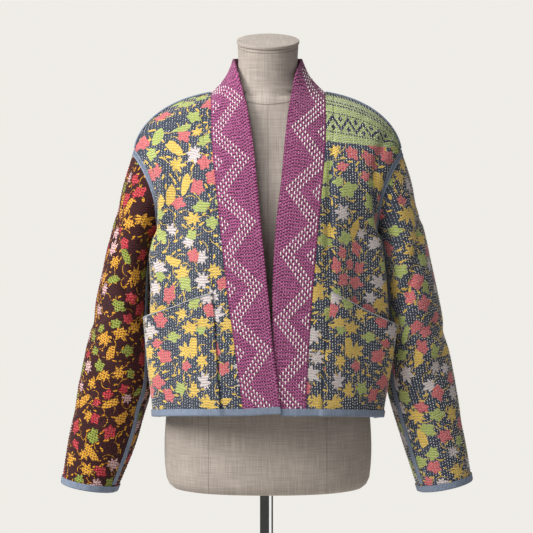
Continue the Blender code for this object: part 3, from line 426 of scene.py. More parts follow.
def turn_angles(count: int) -> ndarray:
    """Angles that divide a full turn into equal steps."""
    return np.arange(count) * 2 * math.pi / count


def joined(grid: ndarray) -> ndarray:
    """A tube's grid with its first column once more at the end."""
    return np.concatenate([grid, grid[:, :1]], axis=1)


def row_wave(u: ndarray) -> ndarray:
    """How far a row's stitches are shifted, in stitches: a sum of sines of its place across."""
    return sum(share * np.sin(2 * math.pi * u / length + start) for share, length, start in WAVES)


def table_curve(table: tuple, column: str, level: ndarray | float) -> ndarray:
    """Reads a column of a table at any level, on a cubic Hermite curve through its rows.

    Args:
        table: rows whose first value is the level.
        column: the name of the value to read.
        level: where to read it.

    Returns:
        The values, in the shape of level.
    """
    levels = np.array([row[0] for row in table])
    values = np.array([getattr(row, column) for row in table])
    slopes = np.gradient(values, levels)
    at = np.clip(level, levels[0], levels[-1])
    low = np.clip(np.searchsorted(levels, at, side="right") - 1, 0, len(levels) - 2)
    step = levels[low + 1] - levels[low]
    u = (at - levels[low]) / step
    return (
        values[low] * (1 + 2 * u) * (1 - u) ** 2
        + slopes[low] * step * u * (1 - u) ** 2
        + values[low + 1] * u**2 * (3 - 2 * u)
        + slopes[low + 1] * step * u**2 * (u - 1)
    )


def smooth_step(low: float, high: float, value: ndarray | float) -> ndarray:
    """0 below low, 1 above high, and 3u^2 - 2u^3 between them."""
    u = np.clip((value - low) / (high - low), 0, 1)
    return u * u * (3 - 2 * u)


def unit(vectors: ndarray) -> ndarray:
    """The vectors divided by their lengths."""
    return vectors / np.maximum(np.linalg.norm(vectors, axis=-1, keepdims=True), 1e-12)


def row_interp(targets: ndarray, values: ndarray, results: ndarray) -> ndarray:
    """Interpolates every row of a table at once.

    Each row is shifted by more than the table's whole span, so that all the rows join into
    one rising list, which is read with a single interpolation.

    Args:
        targets: rows x k places to look up.
        values: rows x n values that rise along each row.
        results: rows x n results that belong to the values.

    Returns:
        rows x k interpolated results.
    """
    span = max(values.max(), targets.max()) - min(values.min(), targets.min()) + 1.0
    shift = 2 * span * np.arange(len(values))[:, None]
    results = np.broadcast_to(results, values.shape)
    flat = np.interp((targets + shift).ravel(), (values + shift).ravel(), results.ravel())
    return flat.reshape(targets.shape)


def surface_normals(grid: ndarray, facing: int, closed: bool = False) -> ndarray:
    """Unit normals of a grid: the cross product of its steps across and along.

    Args:
        grid: rows x columns x 3 points.
        facing: 1 or -1, the side that the normals take.
        closed: True where the last column meets the first.

    Returns:
        rows x columns x 3 normals.
    """
    if closed:
        across = np.roll(grid, -1, axis=1) - np.roll(grid, 1, axis=1)
    else:
        across = np.gradient(grid, axis=1)
    return unit(np.cross(across, np.gradient(grid, axis=0))) * facing


def run_length(grid: ndarray, axis: int) -> ndarray:
    """Length from the first point to each point of a grid, along one axis.

    Args:
        grid: points, with a last axis of 3.
        axis: the axis to go along.

    Returns:
        The lengths, 0 at the first point.
    """
    steps = np.linalg.norm(np.diff(grid, axis=axis), axis=-1)
    start = np.zeros_like(np.take(steps, [0], axis=axis))
    return np.concatenate([start, np.cumsum(steps, axis=axis)], axis=axis)


def summed(grid: ndarray, direction: ndarray, axis: int) -> ndarray:
    """Adds up each step's length along a direction that is given at every point.

    Args:
        grid: rows x columns x 3 points.
        direction: a unit vector at every point.
        axis: the axis to go along.

    Returns:
        The sums, 0 at the first point.
    """
    steps = np.diff(grid, axis=axis)
    ends = [np.take(direction, range(start, direction.shape[axis] - 1 + start), axis=axis)
            for start in (0, 1)]
    lengths = (steps * (ends[0] + ends[1]) / 2).sum(axis=-1)
    return np.concatenate([np.zeros_like(np.take(lengths, [0], axis=axis)), np.cumsum(lengths, axis=axis)],
                          axis=axis)


def mitre(*edges: ndarray, flatness: float = 0.05, limit: float = 3.0) -> ndarray:
    """The shortest offset that reaches as far as each wall's own normal does at a shared seam.

    Args:
        edges: the normals of each wall along the seam, n x 3.
        flatness: smallest singular value that still counts.
        limit: greatest length of the offset.

    Returns:
        n x 3 shared offsets.
    """
    facing = np.stack([unit(edge) for edge in edges], axis=1)
    shared = np.linalg.pinv(facing, rcond=flatness) @ np.ones(len(edges))
    length = np.linalg.norm(shared, axis=-1, keepdims=True)
    return shared * np.minimum(1, limit / length)


def weld(*edges: tuple[ndarray, tuple]) -> None:
    """Gives edges that meet at a seam one shared offset, each by its normals and its places.

    Args:
        edges: normals of a sheet, and the places of the seam among them.
    """
    shared = mitre(*(normals[places] for normals, places in edges))
    for normals, places in edges:
        normals[places] = shared


# Sheets of cloth


@dataclass
class Sheet:
    """A grid of cloth: the middle of its wall, its normals and its cloth coordinates."""

    middle: ndarray
    normals: ndarray
    cloth: ndarray
    closed: bool = False

    @classmethod
    def from_grid(cls, grid: ndarray, facing: int, anchor: int = 0, closed: bool = False,
                  grain: tuple[Run, ndarray] | None = None, zero: int = 0) -> Sheet:
        """Builds a sheet, measuring its cloth coordinates on the grid itself.

        Each step's shares across and along the grain are added up, down one column and then
        across every row. The grain follows the grid's own columns, or a direction laid into
        the surface, or, on cloth that hangs, the level line, which turns to the given
        direction where the surface itself is nearly level.

        Args:
            grid: rows x columns x 3 points.
            facing: the side that the normals take.
            anchor: the column that is added up first.
            closed: True for a tube, whose coordinates get one more column.
            grain: which way of the cloth a direction in space gives, and that direction.
            zero: the column that has U 0 on the first row.

        Returns:
            The sheet.
        """
        normals = surface_normals(grid, facing, closed)
        facing_out = joined(normals) if closed else normals
        points = joined(grid) if closed else grid
        if grain is None:
            along = unit(np.gradient(points, axis=0))
            across = np.cross(along, facing_out)
        elif grain[0] is Run.ALONG:
            along = unit(grain[1] - facing_out * (facing_out @ grain[1])[..., None])
            across = np.cross(along, facing_out)
        else:
            level = np.cross((0, 0, 1), facing_out)
            lying = 1 - np.linalg.norm(level, axis=-1, keepdims=True)
            across = level + lying * (grain[1] - facing_out * (facing_out @ grain[1])[..., None])
            across = unit(across)
            along = np.cross(facing_out, across)
        down = [summed(points, way, 0)[:, anchor : anchor + 1] for way in (across, along)]
        over = [summed(points, way, 1) for way in (across, along)]
        u, v = (first + rest - rest[:, anchor : anchor + 1] for first, rest in zip(down, over))
        turn = np.sign([u[:, -1].mean() - u[:, 0].mean(), v[-1].mean() - v[0].mean()])
        return cls(grid, normals, np.stack([u - u[0, zero], v], -1) * turn, closed)

    def raised(self, height: ndarray, facing: int) -> Sheet:
        """The sheet with its points moved out along their normals by a height."""
        grid = self.middle + self.normals * height[..., None]
        return Sheet(grid, surface_normals(grid, facing, self.closed), self.cloth, self.closed)

    def part(self, columns: slice) -> Sheet:
        """Some of the sheet's columns, as a sheet of its own."""
        cloth = self.cloth[:, columns]
        return Sheet(self.middle[:, columns].copy(), self.normals[:, columns].copy(), cloth.copy())

    def crease_height(self, creases: tuple[Crease, ...]) -> ndarray:
        """Sum of soft creases, each a Gauss curve across and (1 - s^2)^2 along its length.

        Args:
            creases: the creases.

        Returns:
            The height of each point.
        """
        columns = self.middle.shape[1]
        u, v = self.cloth[:, :columns, 0], self.cloth[:, :columns, 1]
        height = np.zeros(u.shape)
        for crease in creases:
            turn = math.radians(crease.turn)
            along = (u - crease.u) * math.cos(turn) + (v - crease.v) * math.sin(turn)
            across = (v - crease.v) * math.cos(turn) - (u - crease.u) * math.sin(turn)
            across = across + 0.12 * crease.length * np.sin(4 * along / crease.length)
            share = np.clip(1 - (2 * along / crease.length) ** 2, 0, 1) ** 2
            height = height + crease.height * share * np.exp(-((across / crease.width) ** 2))
        return height

    def trimmed(self, *edges: Edge, gap: float = 0.0003) -> Sheet:
        """The sheet with some edges moved back by the gap that is left at a seam.

        Args:
            edges: which ones.
            gap: how far each moves.

        Returns:
            The new sheet.
        """
        middle = self.middle.copy()
        for edge in edges:
            own, beside = edge.value
            middle[own] += gap * unit(middle[beside] - middle[own])
        return Sheet(middle, self.normals, self.cloth, self.closed)

    def places(self, u: ndarray, v: ndarray) -> tuple[ndarray, ndarray, ndarray]:
        """Finds cloth coordinates on the grid, first along each column, then across.

        Args:
            u: k places across.
            v: r places along.

        Returns:
            r x k fractional rows, r x k fractional columns, and r x k booleans that are True
            where the place lies on the cloth.
        """
        across, along = self.cloth[..., 0], self.cloth[..., 1]
        rows, columns = across.shape
        wanted = np.broadcast_to(v[None, :], (columns, len(v)))
        row = row_interp(wanted, along.T, np.arange(rows)[None, :]).T
        inside = (wanted.T >= along.min(axis=0)) & (wanted.T <= along.max(axis=0))
        widths = blend_rows(across, row)
        wanted = np.broadcast_to(u[None, :], (len(v), len(u)))
        column = row_interp(wanted, widths, np.arange(columns)[None, :])
        on = (wanted > widths[:, :1]) & (wanted < widths[:, -1:])
        on &= blend_columns(inside.astype(float), column) > 0.99
        return blend_columns(row, column), column, on


def blend_rows(values: ndarray, row: ndarray) -> ndarray:
    """Reads each column of a table at its own fractional rows.

    Args:
        values: n x k values.
        row: r x k fractional rows.

    Returns:
        r x k values.
    """
    low = np.clip(np.floor(row).astype(int), 0, len(values) - 2)
    share = row - low
    columns = np.arange(values.shape[1])[None, :]
    return values[low, columns] * (1 - share) + values[low + 1, columns] * share


def blend_columns(values: ndarray, column: ndarray) -> ndarray:
    """Reads each row of a table at its own fractional columns.

    Args:
        values: r x n values.
        column: r x k fractional columns.

    Returns:
        r x k values.
    """
    low = np.clip(np.floor(column).astype(int), 0, values.shape[1] - 2)
    share = column - low
    rows = np.arange(len(values))[:, None]
    return values[rows, low] * (1 - share) + values[rows, low + 1] * share


def blend_grid(values: ndarray, row: ndarray, column: ndarray) -> ndarray:
    """Reads a grid of vectors at fractional rows and columns, straight between its points.

    Args:
        values: rows x columns x 3 vectors.
        row: fractional rows.
        column: fractional columns, in the same shape.

    Returns:
        A vector for each place.
    """
    r = np.clip(np.floor(row).astype(int), 0, values.shape[0] - 2)
    c = np.clip(np.floor(column).astype(int), 0, values.shape[1] - 2)
    a, b = (row - r)[..., None], (column - c)[..., None]
    top = values[r, c] * (1 - b) + values[r, c + 1] * b
    bottom = values[r + 1, c] * (1 - b) + values[r + 1, c + 1] * b
    return top * (1 - a) + bottom * a


def linked(name: str, data: object) -> Object:
    """An object in the scene, made from its data.

    Args:
        name: the object's name.
        data: its mesh, camera or light.

    Returns:
        The object.
    """
    made = bpy.data.objects.new(name, data)
    bpy.context.scene.collection.objects.link(made)
    return made


def cell_corners(table: ndarray) -> ndarray:
    """Four corners of each cell of a table of numbers."""
    cells = (table[:-1, :-1], table[:-1, 1:], table[1:, 1:], table[1:, :-1])
    return np.stack(cells, -1).reshape(-1, 4)


def mesh_object(name: str, points: ndarray, faces: ndarray, cloth: ndarray | None,
                material: Material) -> Object:
    """Makes a smooth mesh object at the origin.

    Args:
        name: the object's name.
        points: n x 3 places.
        faces: m x k corners, by their points.
        cloth: m x k x 2 cloth coordinates of the corners, or None.
        material: its finish.

    Returns:
        The object.
    """
    mesh = bpy.data.meshes.new(name)
    mesh.from_pydata(points.tolist(), [], faces.tolist())
    if cloth is not None:
        layer = mesh.uv_layers.new(name="cloth")
        layer.data.foreach_set("uv", np.ascontiguousarray(cloth, dtype=np.float32).ravel())
    mesh.materials.append(material)
    mesh.shade_smooth()
    return linked(name, mesh)


def wall_object(name: str, sheet: Sheet, thickness: float, material: Material,
                sharp: float = 50.0) -> Object:
    """Makes a closed wall of cloth: the sheet's points moved out and in by half its thickness.

    Args:
        name: the object's name.
        sheet: the cloth.
        thickness: its thickness.
        material: its finish.
        sharp: angle in degrees above which an edge stays crisp.

    Returns:
        The object.
    """
    rows, columns = sheet.middle.shape[:2]
    count = rows * columns
    outer = sheet.middle + sheet.normals * thickness / 2
    inner = sheet.middle - sheet.normals * thickness / 2
    points = np.concatenate([outer.reshape(-1, 3), inner.reshape(-1, 3)])
    index = np.arange(count).reshape(rows, columns)
    if sheet.closed:
        index = joined(index)
    mark = np.arange(index.size).reshape(index.shape)

    def rim(table: ndarray, other: ndarray) -> ndarray:
        """Faces between the two layers round the open edges of a table.

        Args:
            table: numbers of one layer's points.
            other: numbers of the other layer's.

        Returns:
            m x 4 corners.
        """
        edges = [(table[0, 1:], table[0, :-1]), (table[-1, :-1], table[-1, 1:])]
        backs = [(other[0, 1:], other[0, :-1]), (other[-1, :-1], other[-1, 1:])]
        if not sheet.closed:
            edges += [(table[:-1, 0], table[1:, 0]), (table[1:, -1], table[:-1, -1])]
            backs += [(other[:-1, 0], other[1:, 0]), (other[1:, -1], other[:-1, -1])]
        made = [np.stack([a, b, d, c], -1) for (a, b), (c, d) in zip(edges, backs)]
        return np.concatenate(made)

    cells, marks = cell_corners(index), cell_corners(mark)
    faces = np.concatenate([cells, cells[:, ::-1] + count, rim(index, index + count)])
    marks = np.concatenate([marks, marks[:, ::-1], rim(mark, mark)])
    across = sheet.middle[rows // 2, 1] - sheet.middle[rows // 2, 0]
    along = sheet.middle[rows // 2 + 1, 0] - sheet.middle[rows // 2, 0]
    if np.dot(np.cross(across, along), sheet.normals[rows // 2, 0]) < 0:
        faces, marks = faces[:, ::-1], marks[:, ::-1]
    cloth = sheet.cloth.reshape(-1, 2)[marks]
    made = mesh_object(name, points, faces, cloth, material)
    made.data.set_sharp_from_angle(angle=math.radians(sharp))
    return made


# The jacket's form


@dataclass(frozen=True)
class JacketForm:
    """The worked out surfaces of the worn jacket, with no thickness yet."""

    neck_height: float = 1.385
    armpit_level: float = 0.6
    back_neck_level: float = 0.957
    back_neck_shape: float = 0.8
    back_match_level: float = 0.75
    low_rows: int = 100
    arm_rows: int = 60
    strip_columns: int = 10
    panel_columns: int = 55
    neck_columns: int = 20
    band_columns: int = 16
    sleeve_rows: int = 160
    sleeve_seam_turn: int = 12
    fold_end_across: float = 0.85
    fold_end_level: float = 0.93
    sleeve_folds_start: float = 0.10
    sleeve_folds_end: float = 0.92
    armhole_ease: float = 0.35
    back_collar_y: float = 0.0635
    back_collar_drop: float = -0.063
    lapel_bow: float = 0.0010
    neck_bow: float = -0.0055
    neck_bow_level: float = 0.85
    seam_dip: float = 0.0007
    seam_dip_columns: float = 1.4
    curve_steps: int = 121
    sideways: ndarray = field(default_factory=lambda: np.array([1.0, 0.0, 0.0]))

    @property
    def levels(self) -> ndarray:
        """The level of each row of a body panel, from the hem to the shoulder seam."""
        low = np.linspace(0, self.armpit_level, self.low_rows + 1)
        return np.concatenate([low, np.linspace(self.armpit_level, 1, self.arm_rows + 1)[1:]])

    def body_point(self, side: Side, face: Face, phi: ndarray, level: ndarray) -> ndarray:
        """A point of the body: a squared-off quarter ellipse between middle and side.

        Across, it goes as sin(phi)^(2/square) plus a swell near the side seam; its depth and
        drop go from the side's values to the middle's as cos(phi)^(2/square or 2/fall).

        Args:
            side: the wearer's side.
            face: front or back.
            phi: 0 at the centre line and a right angle at the side.
            level: 0 at the hem and 1 at the shoulder seam.

        Returns:
            Points, with a last axis of 3.
        """
        table = SIDES[side]
        square = table_curve(table, "square", level)
        bulge = table_curve(table, f"{face.value}_bulge", level)
        gap = np.where(level > self.armpit_level, table_curve(table, "gap", level), 0)
        edge_y = table_curve(table, "y", level) + (gap if face is Face.BACK else -gap)
        mid_y = table_curve(MIDDLE, f"{face.value}_y", level)
        edge_drop = table_curve(table, "drop", level)
        mid_drop = table_curve(MIDDLE, f"{face.value}_drop", level)
        out = np.abs(np.sin(phi)) ** (2 / square)
        inward = np.maximum(np.cos(phi), 0) ** (2 / square)
        swell = bulge * np.sin(np.clip(4 * phi - math.pi, 0, math.pi)) ** 2
        x = side.value * (table_curve(table, "x", level) * out + swell)
        y = edge_y + (mid_y - edge_y) * inward
        fall = table_curve(table, "fall", level)
        drop = edge_drop + (mid_drop - edge_drop) * np.maximum(np.cos(phi), 0) ** (2 / fall)
        return np.stack(np.broadcast_arrays(x, y, self.neck_height - drop), axis=-1)

    def phi_at(self, side: Side, x: ndarray | float, level: ndarray) -> ndarray:
        """The angle at which a section reaches a distance x from the centre line.

        Args:
            side: the wearer's side.
            x: distances from the centre line.
            level: the levels.

        Returns:
            The angles.
        """
        square = table_curve(SIDES[side], "square", level)
        share = np.clip(x / table_curve(SIDES[side], "x", level), 0, 1)
        return np.arcsin(share ** (square / 2))

    def even_angles(self, side: Side, face: Face, level: ndarray, first: ndarray,
                    last: ndarray | float, steps: int) -> ndarray:
        """Angles that divide each level's section into steps of equal length.

        Args:
            side: the wearer's side.
            face: front or back.
            level: n levels.
            first: n angles where the stretch starts.
            last: n angles where it ends.
            steps: how many steps.

        Returns:
            n x (steps + 1) angles.
        """
        first, last = np.broadcast_arrays(first, last + 0 * level)
        share = np.linspace(0, 1, self.curve_steps)[None, :]
        phi = first[:, None] + (last - first)[:, None] * share
        run = run_length(self.body_point(side, face, phi, level[:, None]), axis=1)
        return row_interp(run[:, -1:] * np.linspace(0, 1, steps + 1)[None, :], run, phi)

    def front_angles(self, side: Side, level: ndarray) -> ndarray:
        """The angles of a front's columns at each level: the strip's, then the panel's.

        Args:
            side: the wearer's side.
            level: n levels.

        Returns:
            n x columns angles.
        """
        seam = self.phi_at(side, table_curve(BANDS[side], "seam_x", level), level)
        strip = self.phi_at(side, table_curve(BANDS[side], "strip_x", level), level)
        inner = self.even_angles(side, Face.FRONT, level, seam, strip, self.strip_columns)
        outer = self.even_angles(side, Face.FRONT, level, strip, math.pi / 2, self.panel_columns)
        return np.concatenate([inner, outer[:, 1:]], axis=1)

    def back_angles(self, side: Side, level: ndarray) -> ndarray:
        """The angles of one half of the back at each level: the neck's, then the shoulder's.

        Args:
            side: the wearer's side.
            level: n levels.

        Returns:
            n x columns angles.
        """
        top = self.front_angles(side, np.ones(1))
        neck = self.phi_at(side, table_curve(BANDS[side], "seam_x", 1.0), level)
        columns = self.strip_columns + self.panel_columns
        outer = self.even_angles(side, Face.BACK, level, neck, math.pi / 2, columns)
        outer = outer + (top - outer) * smooth_step(self.back_match_level, 1.0, level)[:, None]
        inner = self.even_angles(side, Face.BACK, level, 0 * level, outer[:, 0], self.neck_columns)
        return np.concatenate([inner, outer[:, 1:]], axis=1)

    def fold_height(self, side: Side, face: Face, across: ndarray, level: ndarray) -> ndarray:
        """Sum of the large folds: a Gauss curve across times (1 - s^2)^1.5 up and down.

        Args:
            side: the wearer's side.
            face: front or back.
            across: 0 at the centre line and 1 at the side.
            level: 0 at the hem and 1 at the shoulder seam.

        Returns:
            The height of each point.
        """
        height = np.zeros(np.broadcast(across, level).shape)
        for fold in FOLDS[side, face]:
            middle, half = (fold.low + fold.high) / 2, (fold.high - fold.low) / 2
            line = fold.across + fold.lean * (level - middle)
            ridge = np.exp(-(((across - line) / fold.width) ** 2))
            fade = np.clip(1 - ((level - middle) / half) ** 2, 0, 1) ** 1.5
            height = height + fold.depth * ridge * fade
        return height * self.seam_fade(across, level)

    def seam_fade(self, across: ndarray, level: ndarray) -> ndarray:
        """1 inside a panel, falling to 0 at its side and at its shoulder seam."""
        sides = smooth_step(1.0, self.fold_end_across, across)
        return sides * smooth_step(1.0, self.fold_end_level, level)

    def front(self, side: Side) -> Sheet:
        """A front from the collar's seam to the side, strip and panel together.

        Args:
            side: the wearer's side.

        Returns:
            The sheet.
        """
        level = self.levels[:, None]
        grid = self.body_point(side, Face.FRONT, self.front_angles(side, self.levels), level)
        across = np.linspace(0, 1, grid.shape[1])[None, :]
        plain = Sheet.from_grid(grid, side.value, grain=(Run.ACROSS, self.sideways), zero=-1)
        shaped = plain.raised(self.fold_height(side, Face.FRONT, across, level), side.value)
        creases = shaped.crease_height(CREASES[f"front_{side.word}"])
        creases = creases * self.seam_fade(across, level)
        beside = (np.arange(grid.shape[1]) - self.strip_columns) / self.seam_dip_columns
        creases = (creases - self.seam_dip * np.exp(-(beside**2))) * smooth_step(0.0, 0.06, level)
        return shaped.raised(creases * smooth_step(1.0, 0.97, level), side.value)

    def back(self) -> Sheet:
        """The whole back, from the wearer's right edge to the left, with its neckline cut."""
        levels = self.levels[:, None]
        halves = []
        columns = self.neck_columns + self.strip_columns + self.panel_columns
        inside = np.clip(1 - np.arange(columns + 1) / self.neck_columns, 0, 1)
        dip = (1 - self.back_neck_level) * np.sin(inside * math.pi / 2) ** self.back_neck_shape
        level = levels * (1 - dip[None, :] * smooth_step(self.armpit_level, 1.0, levels))
        across = np.linspace(0, 1, columns + 1)[None, :]
        for side in Side:
            phi = self.back_angles(side, self.levels)
            for column in range(self.neck_columns):
                phi[:, column] = self.back_angles(side, level[:, column])[:, column]
            grid = self.body_point(side, Face.BACK, phi, level)
            height = self.fold_height(side, Face.BACK, across, level)
            normals = surface_normals(grid, -side.value)
            halves.append(grid + normals * height[..., None])
        grid = np.concatenate([halves[0][:, ::-1], halves[1][:, 1:]], axis=1)
        plain = Sheet.from_grid(grid, -1, columns, False, (Run.ACROSS, -self.sideways), columns)
        both = np.abs(np.linspace(-1, 1, grid.shape[1]))[None, :]
        fade = self.seam_fade(both, levels) * smooth_step(0.0, 0.06, levels)
        return plain.raised(plain.crease_height(CREASES["back"]) * fade, -1)

    def sleeve_ring(self, side: Side, along: ndarray, angle: ndarray) -> ndarray:
        """Points of a sleeve's plain section, an ellipse between its outer and underarm points.

        Args:
            side: the wearer's side.
            along: 0 at the armhole and 1 at the cuff.
            angle: 0 on the outer line, and rising towards the front.

        Returns:
            Points, with a last axis of 3.
        """
        table = SLEEVES[side]
        ends = []
        for edge in ("outer", "inner"):
            x = side.value * table_curve(table, f"{edge}_x", along)
            z = self.neck_height - table_curve(table, f"{edge}_drop", along)
            ends.append(np.stack([x, table_curve(table, "mid_y", along), z], axis=-1))
        middle, reach = (ends[0] + ends[1]) / 2, (ends[0] - ends[1]) / 2
        front = np.zeros(np.broadcast(along, angle).shape + (3,))
        front[..., 1] = -table_curve(table, "depth", along) * np.sin(angle)
        return middle + reach * np.cos(angle)[..., None] + front

    def sleeve(self, side: Side, front: Sheet, back: Sheet) -> Sheet:
        """A sleeve, ring by ring, from the armhole's own points to the cuff.

        Column 0 lies at the sleeve seam, and U is 0 on the outer line.

        Args:
            side: the wearer's side.
            front: that side's front.
            back: the back.

        Returns:
            The closed sheet.
        """
        edge = 0 if side is Side.RIGHT else -1
        front_edge = front.middle[self.low_rows :, -1][::-1]
        armhole = np.concatenate([front_edge, back.middle[self.low_rows :, edge][1:-1]])
        angle = turn_angles(len(armhole))[None, :]
        along = np.linspace(0, 1, self.sleeve_rows)[:, None]
        grid = self.sleeve_ring(side, along, angle)
        ease = np.clip(1 - along / self.armhole_ease, 0, 1) ** 2
        grid = grid + (armhole - grid[0])[None] * ease[..., None]
        height = np.zeros(grid.shape[:2])
        for fold in SLEEVE_FOLDS[side]:
            turn = angle - math.radians(fold.angle)
            line = fold.along + fold.slant * np.sin(turn)
            ridge = np.exp(-(((along - line) / fold.width) ** 2))
            height = height + fold.depth * ridge * np.clip(np.cos(turn), 0, 1) ** 0.5
        fade = smooth_step(0.0, self.sleeve_folds_start, along)
        fade = fade * smooth_step(1.0, self.sleeve_folds_end, along)
        grid = grid + surface_normals(grid, side.value, True) * (height * fade)[..., None]
        grid = np.roll(grid, -self.sleeve_seam_column, axis=1)
        anchor = grid.shape[1] - self.sleeve_seam_column
        axis = unit(grid[-1].mean(axis=0) - grid[0].mean(axis=0))
        plain = Sheet.from_grid(grid, side.value, anchor, True, (Run.ALONG, axis), anchor)
        creases = plain.crease_height(CREASES[f"sleeve_{side.word}"])
        seam = np.minimum(np.arange(grid.shape[1]), grid.shape[1] - np.arange(grid.shape[1]))
        fade = fade * smooth_step(0, 8, seam)[None, :]
        return plain.raised(creases * fade, side.value)

    @property
    def sleeve_seam_column(self) -> int:
        """The column of the armhole's ring where the sleeve seam starts."""
        return self.arm_rows - self.sleeve_seam_turn

    def collar(self, fronts: dict[Side, Sheet], back: Sheet) -> Sheet:
        """The collar band from the right hem, round the neck, to the left hem.

        Its first column is the panels' own seam and its last the free edge, a half ellipse
        behind the neck, with a bow sin(pi s) between them.

        Args:
            fronts: both fronts.
            back: the back.

        Returns:
            The sheet.
        """
        middle = back.middle.shape[1] // 2
        neck = back.middle[-1, middle - self.neck_columns + 1 : middle + self.neck_columns]
        right, left = fronts[Side.RIGHT].middle[:, 0], fronts[Side.LEFT].middle[::-1, 0]
        seam = np.concatenate([right, neck, left])
        free = {}
        for side in Side:
            x = side.value * table_curve(BANDS[side], "free_x", self.levels)
            y = table_curve(BANDS[side], "free_y", self.levels)
            drop = table_curve(BANDS[side], "free_drop", self.levels)
            free[side] = np.stack([x, y, self.neck_height - drop], axis=-1)
        start, end = free[Side.RIGHT][-1], free[Side.LEFT][-1]
        turn = np.linspace(0, math.pi, len(neck) + 2)[1:-1]
        x = (start[0] + end[0]) / 2 - (end[0] - start[0]) / 2 * np.cos(turn)
        y = start[1] + (self.back_collar_y - start[1]) * np.sin(turn)
        z = start[2] + (self.neck_height - self.back_collar_drop - start[2]) * np.sin(turn)
        behind = np.stack([x, y, z], axis=-1)
        edge = np.concatenate([free[Side.RIGHT], behind, free[Side.LEFT][::-1]])
        share = np.linspace(0, 1, self.band_columns + 1)[None, :]
        grid = seam[:, None] * (1 - share[..., None]) + edge[:, None] * share[..., None]
        level = np.concatenate([self.levels, np.ones(len(neck)), self.levels[::-1]])[:, None]
        bow = self.lapel_bow + (self.neck_bow - self.lapel_bow) * smooth_step(self.neck_bow_level, 1, level)
        plain = Sheet.from_grid(grid, 1).raised(bow * np.sin(share * math.pi), 1)
        creases = plain.crease_height(CREASES["collar"]) * np.sin(share * math.pi)
        return plain.raised(creases, 1)


# Thread and tape on the cloth


@dataclass
class Stitches:
    """Stitches on a sheet, each a small raised bead of thread."""

    row: ndarray
    column: ndarray

    def mesh(self, sheet: Sheet, thickness: float, length: float, width: float,
             height: float) -> tuple[ndarray, ndarray, ndarray]:
        """Works out every bead, a long hipped shape of eight triangles.

        A bead's points are its place on the outer face, plus length along the cloth, width
        across it and height out of it, each times the bead's own small table.

        Args:
            sheet: the cloth.
            thickness: thickness of the cloth.
            length: length of a bead.
            width: width of a bead.
            height: how far it stands out.

        Returns:
            Points n x 3, faces m x 3, and the cloth coordinates of the faces' corners.
        """
        outer = sheet.middle + sheet.normals * thickness / 2
        normals = sheet.normals
        if sheet.closed:
            outer = joined(outer)
            normals = joined(normals)
        along = unit(np.gradient(outer, axis=0))
        place = blend_grid(outer, self.row, self.column)
        out = unit(blend_grid(normals, self.row, self.column))
        run = unit(blend_grid(along, self.row, self.column))
        across = unit(np.cross(run, out))
        table = np.array([(-0.5, -0.4, -0.3), (0.5, -0.4, -0.3), (0.5, 0.4, -0.3), (-0.5, 0.4, -0.3),
                          (-0.26, 0, 1), (0.26, 0, 1)]) * (length, width, height)
        axes = np.stack([run, across, out], axis=1)
        points = place[:, None] + np.einsum("pk,nkc->npc", table, axes)
        shape = np.array([(0, 1, 5), (0, 5, 4), (2, 3, 4), (2, 4, 5), (3, 0, 4), (1, 2, 5),
                          (0, 3, 2), (0, 2, 1)])
        faces = shape[None] + 6 * np.arange(len(place))[:, None, None]
        cloth = np.repeat(blend_grid(sheet.cloth, self.row, self.column), 3 * len(shape), axis=0)
        return points.reshape(-1, 3), faces.reshape(-1, 3), cloth.reshape(-1, 3, 2)


@dataclass(frozen=True)
class RunningStitch:
    """Rows of even running stitch over a whole sheet."""

    row_gap: float = 0.0045
    pitch: float = 0.0044
    length: float = 0.0022
    width: float = 0.0019
    height: float = 0.0007
    wander: float = 0.00055
    margin: float = 0.0015
    seed: int = 3

    def lay(self, sheet: Sheet) -> Stitches:
        """Places the stitches: straight rows, shifted by the waves, with a small wander.

        Args:
            sheet: the cloth.

        Returns:
            The stitches.
        """
        chance = np.random.default_rng(self.seed)
        cloth = sheet.cloth.copy()
        cloth[..., 1] += row_wave(cloth[..., 0]) * self.pitch
        low, high = cloth.min(axis=(0, 1)), cloth.max(axis=(0, 1))
        u, v = (np.arange(math.ceil(start / gap), math.floor(end / gap) + 1) * gap
                for start, end, gap in zip(low, high, (self.row_gap, self.pitch)))
        row, column, on = Sheet(sheet.middle, sheet.normals, cloth, sheet.closed).places(u, v)
        row_step = np.median(np.diff(sheet.cloth[:, 0, 1]))
        column_step = np.median(np.diff(sheet.cloth[len(cloth) // 2, :, 0]))
        row = row + chance.normal(0, self.wander, row.shape) / row_step
        column = column + chance.normal(0, self.wander / 2, row.shape) / column_step
        for place, count, step in ((row, cloth.shape[0], row_step), (column, cloth.shape[1], column_step)):
            edge = self.margin / step
            on &= (place > edge) & (place < count - 1 - edge)
        return Stitches(row[on], column[on])


